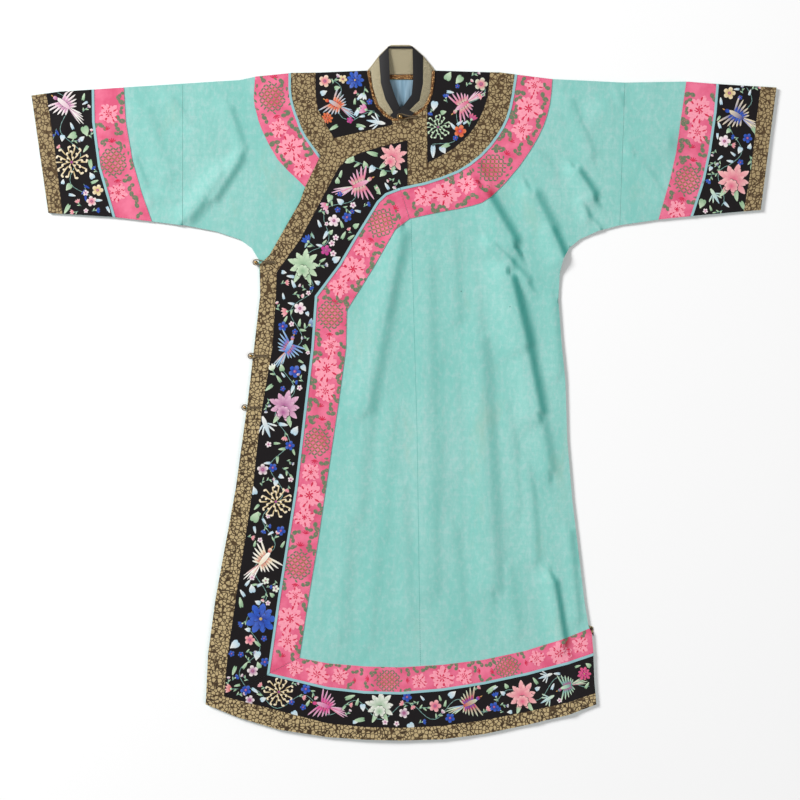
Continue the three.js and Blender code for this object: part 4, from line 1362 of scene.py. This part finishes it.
# A facing of the binding's brocade lies under the collar's foot.
facing_outer = [
    (-71, 640), (-68, 611), (-59, 579), (-41, 553), (-24, 543), (-22, 532), (2, 532), (14, 546), (35, 561),
    (50, 584), (58, 611), (60, 640),
]
facing_inner = [
    (48, 640), (43, 610), (30, 584), (12, 568), (-7, 562), (-26, 568), (-43, 584), (-54, 610), (-58, 640),
]
bm = flat_face(facing_outer + facing_inner)
width, length, area = strip_cut(bm)
lay(
    bm, trim_cell, lambda x, y: np.maximum(front_level(x, y), right_level(x, y)) + 0.35 * mm,
    0.3 * mm, [(0.4 * mm, 0.1 * mm)],
)
facing = new_object("neck_facing", bm)
finish_piece(facing, brocade)

couched, couched_tree, couched_shader = paint("couched_gold", (0.42, 0.22, 0.07), 0.42)
couched_shader.inputs["Metallic"].default_value = 0.35
twist = node(
    couched_tree, "ShaderNodeTexVoronoi", [("Vector", stretched(couched_tree, (1, 1, 0)))],
    feature="DISTANCE_TO_EDGE", Scale=1 / 0.0042,
)
couched_dark, couched_light = (0.10, 0.035, 0.01), (0.60, 0.34, 0.13)
strands = ranged(couched_tree, twist.outputs["Distance"], 0.08, 0.26)
couched_tone = mixed(couched_tree, strands, couched_dark, couched_light)
couched_tree.links.new(couched_tone, couched_shader.inputs["Base Color"])
roughen(couched_tree, couched_shader, twist.outputs["Distance"], 0.8, 0.0012)
softened("collar_piping", "cord", couched, 1.0 * mm, 3)
declare_strip(softened("neck_cord", "row", couched, 0.5 * mm), "neck_cord")
declare_strip(softened("slit_tab", "cloth", brocade, 0.3 * mm), "slit_tab")

# ---------------------------------------------------------------- fastenings
# Ball buttons of gilt brass, one at the throat and three down the side, each held by a loop of thin
# cord that comes off the binding and is sewn down at both ends.
gilt, gilt_tree, gilt_shader = paint("gilt_brass", (0.50, 0.30, 0.10), 0.34)
gilt_shader.inputs["Metallic"].default_value = 1.0
gilt_dark, gilt_light = (0.20, 0.11, 0.04), (0.62, 0.40, 0.15)
tarnish = ranged(gilt_tree, mottling(gilt_tree, (500, 500, 500), 3.0), 0.40, 0.65)
gilt_tone = mixed(gilt_tree, tarnish, gilt_dark, gilt_light)
gilt_tree.links.new(gilt_tone, gilt_shader.inputs["Base Color"])
cord_silk, cord_tree, cord_shader = paint("loop_cord", (0.17, 0.12, 0.06), 0.6, 0.2)
cord_lay = node(
    cord_tree, "ShaderNodeTexWave", [("Vector", stretched(cord_tree, (1, 1, 1), 35.0))],
    bands_direction="X", Scale=0.314 / 0.0011,
)
cord_dark, cord_light = (0.075, 0.05, 0.025), (0.25, 0.18, 0.095)
cord_tone = mixed(cord_tree, cord_lay.outputs["Fac"], cord_dark, cord_light)
cord_tree.links.new(cord_tone, cord_shader.inputs["Base Color"])
roughen(cord_tree, cord_shader, cord_lay.outputs["Fac"], 0.8, 0.0004)

for place in ("throat", "underarm", "side_upper", "side_lower"):
    low, high = (Vector(corner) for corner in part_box("button_" + place))
    ball = bmesh.new()
    radius = (high.x - low.x) / 2
    made = bmesh.ops.create_uvsphere(ball, u_segments=28, v_segments=18, radius=radius)
    for vert in made["verts"]:
        ribs = 1 - 0.05 * (0.5 + 0.5 * math.cos(8 * math.atan2(vert.co.y, vert.co.x)))
        vert.co = Vector((vert.co.x * ribs, vert.co.y * ribs, vert.co.z * 0.98)) + (low + high) / 2
    finish_piece(new_object(f"button_{place}_ball", ball), gilt, "button_" + place)
    softened("loop_" + place, "cord", cord_silk, 0.4 * mm, 2)

# ---------------------------------------------------------------- size
low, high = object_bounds()
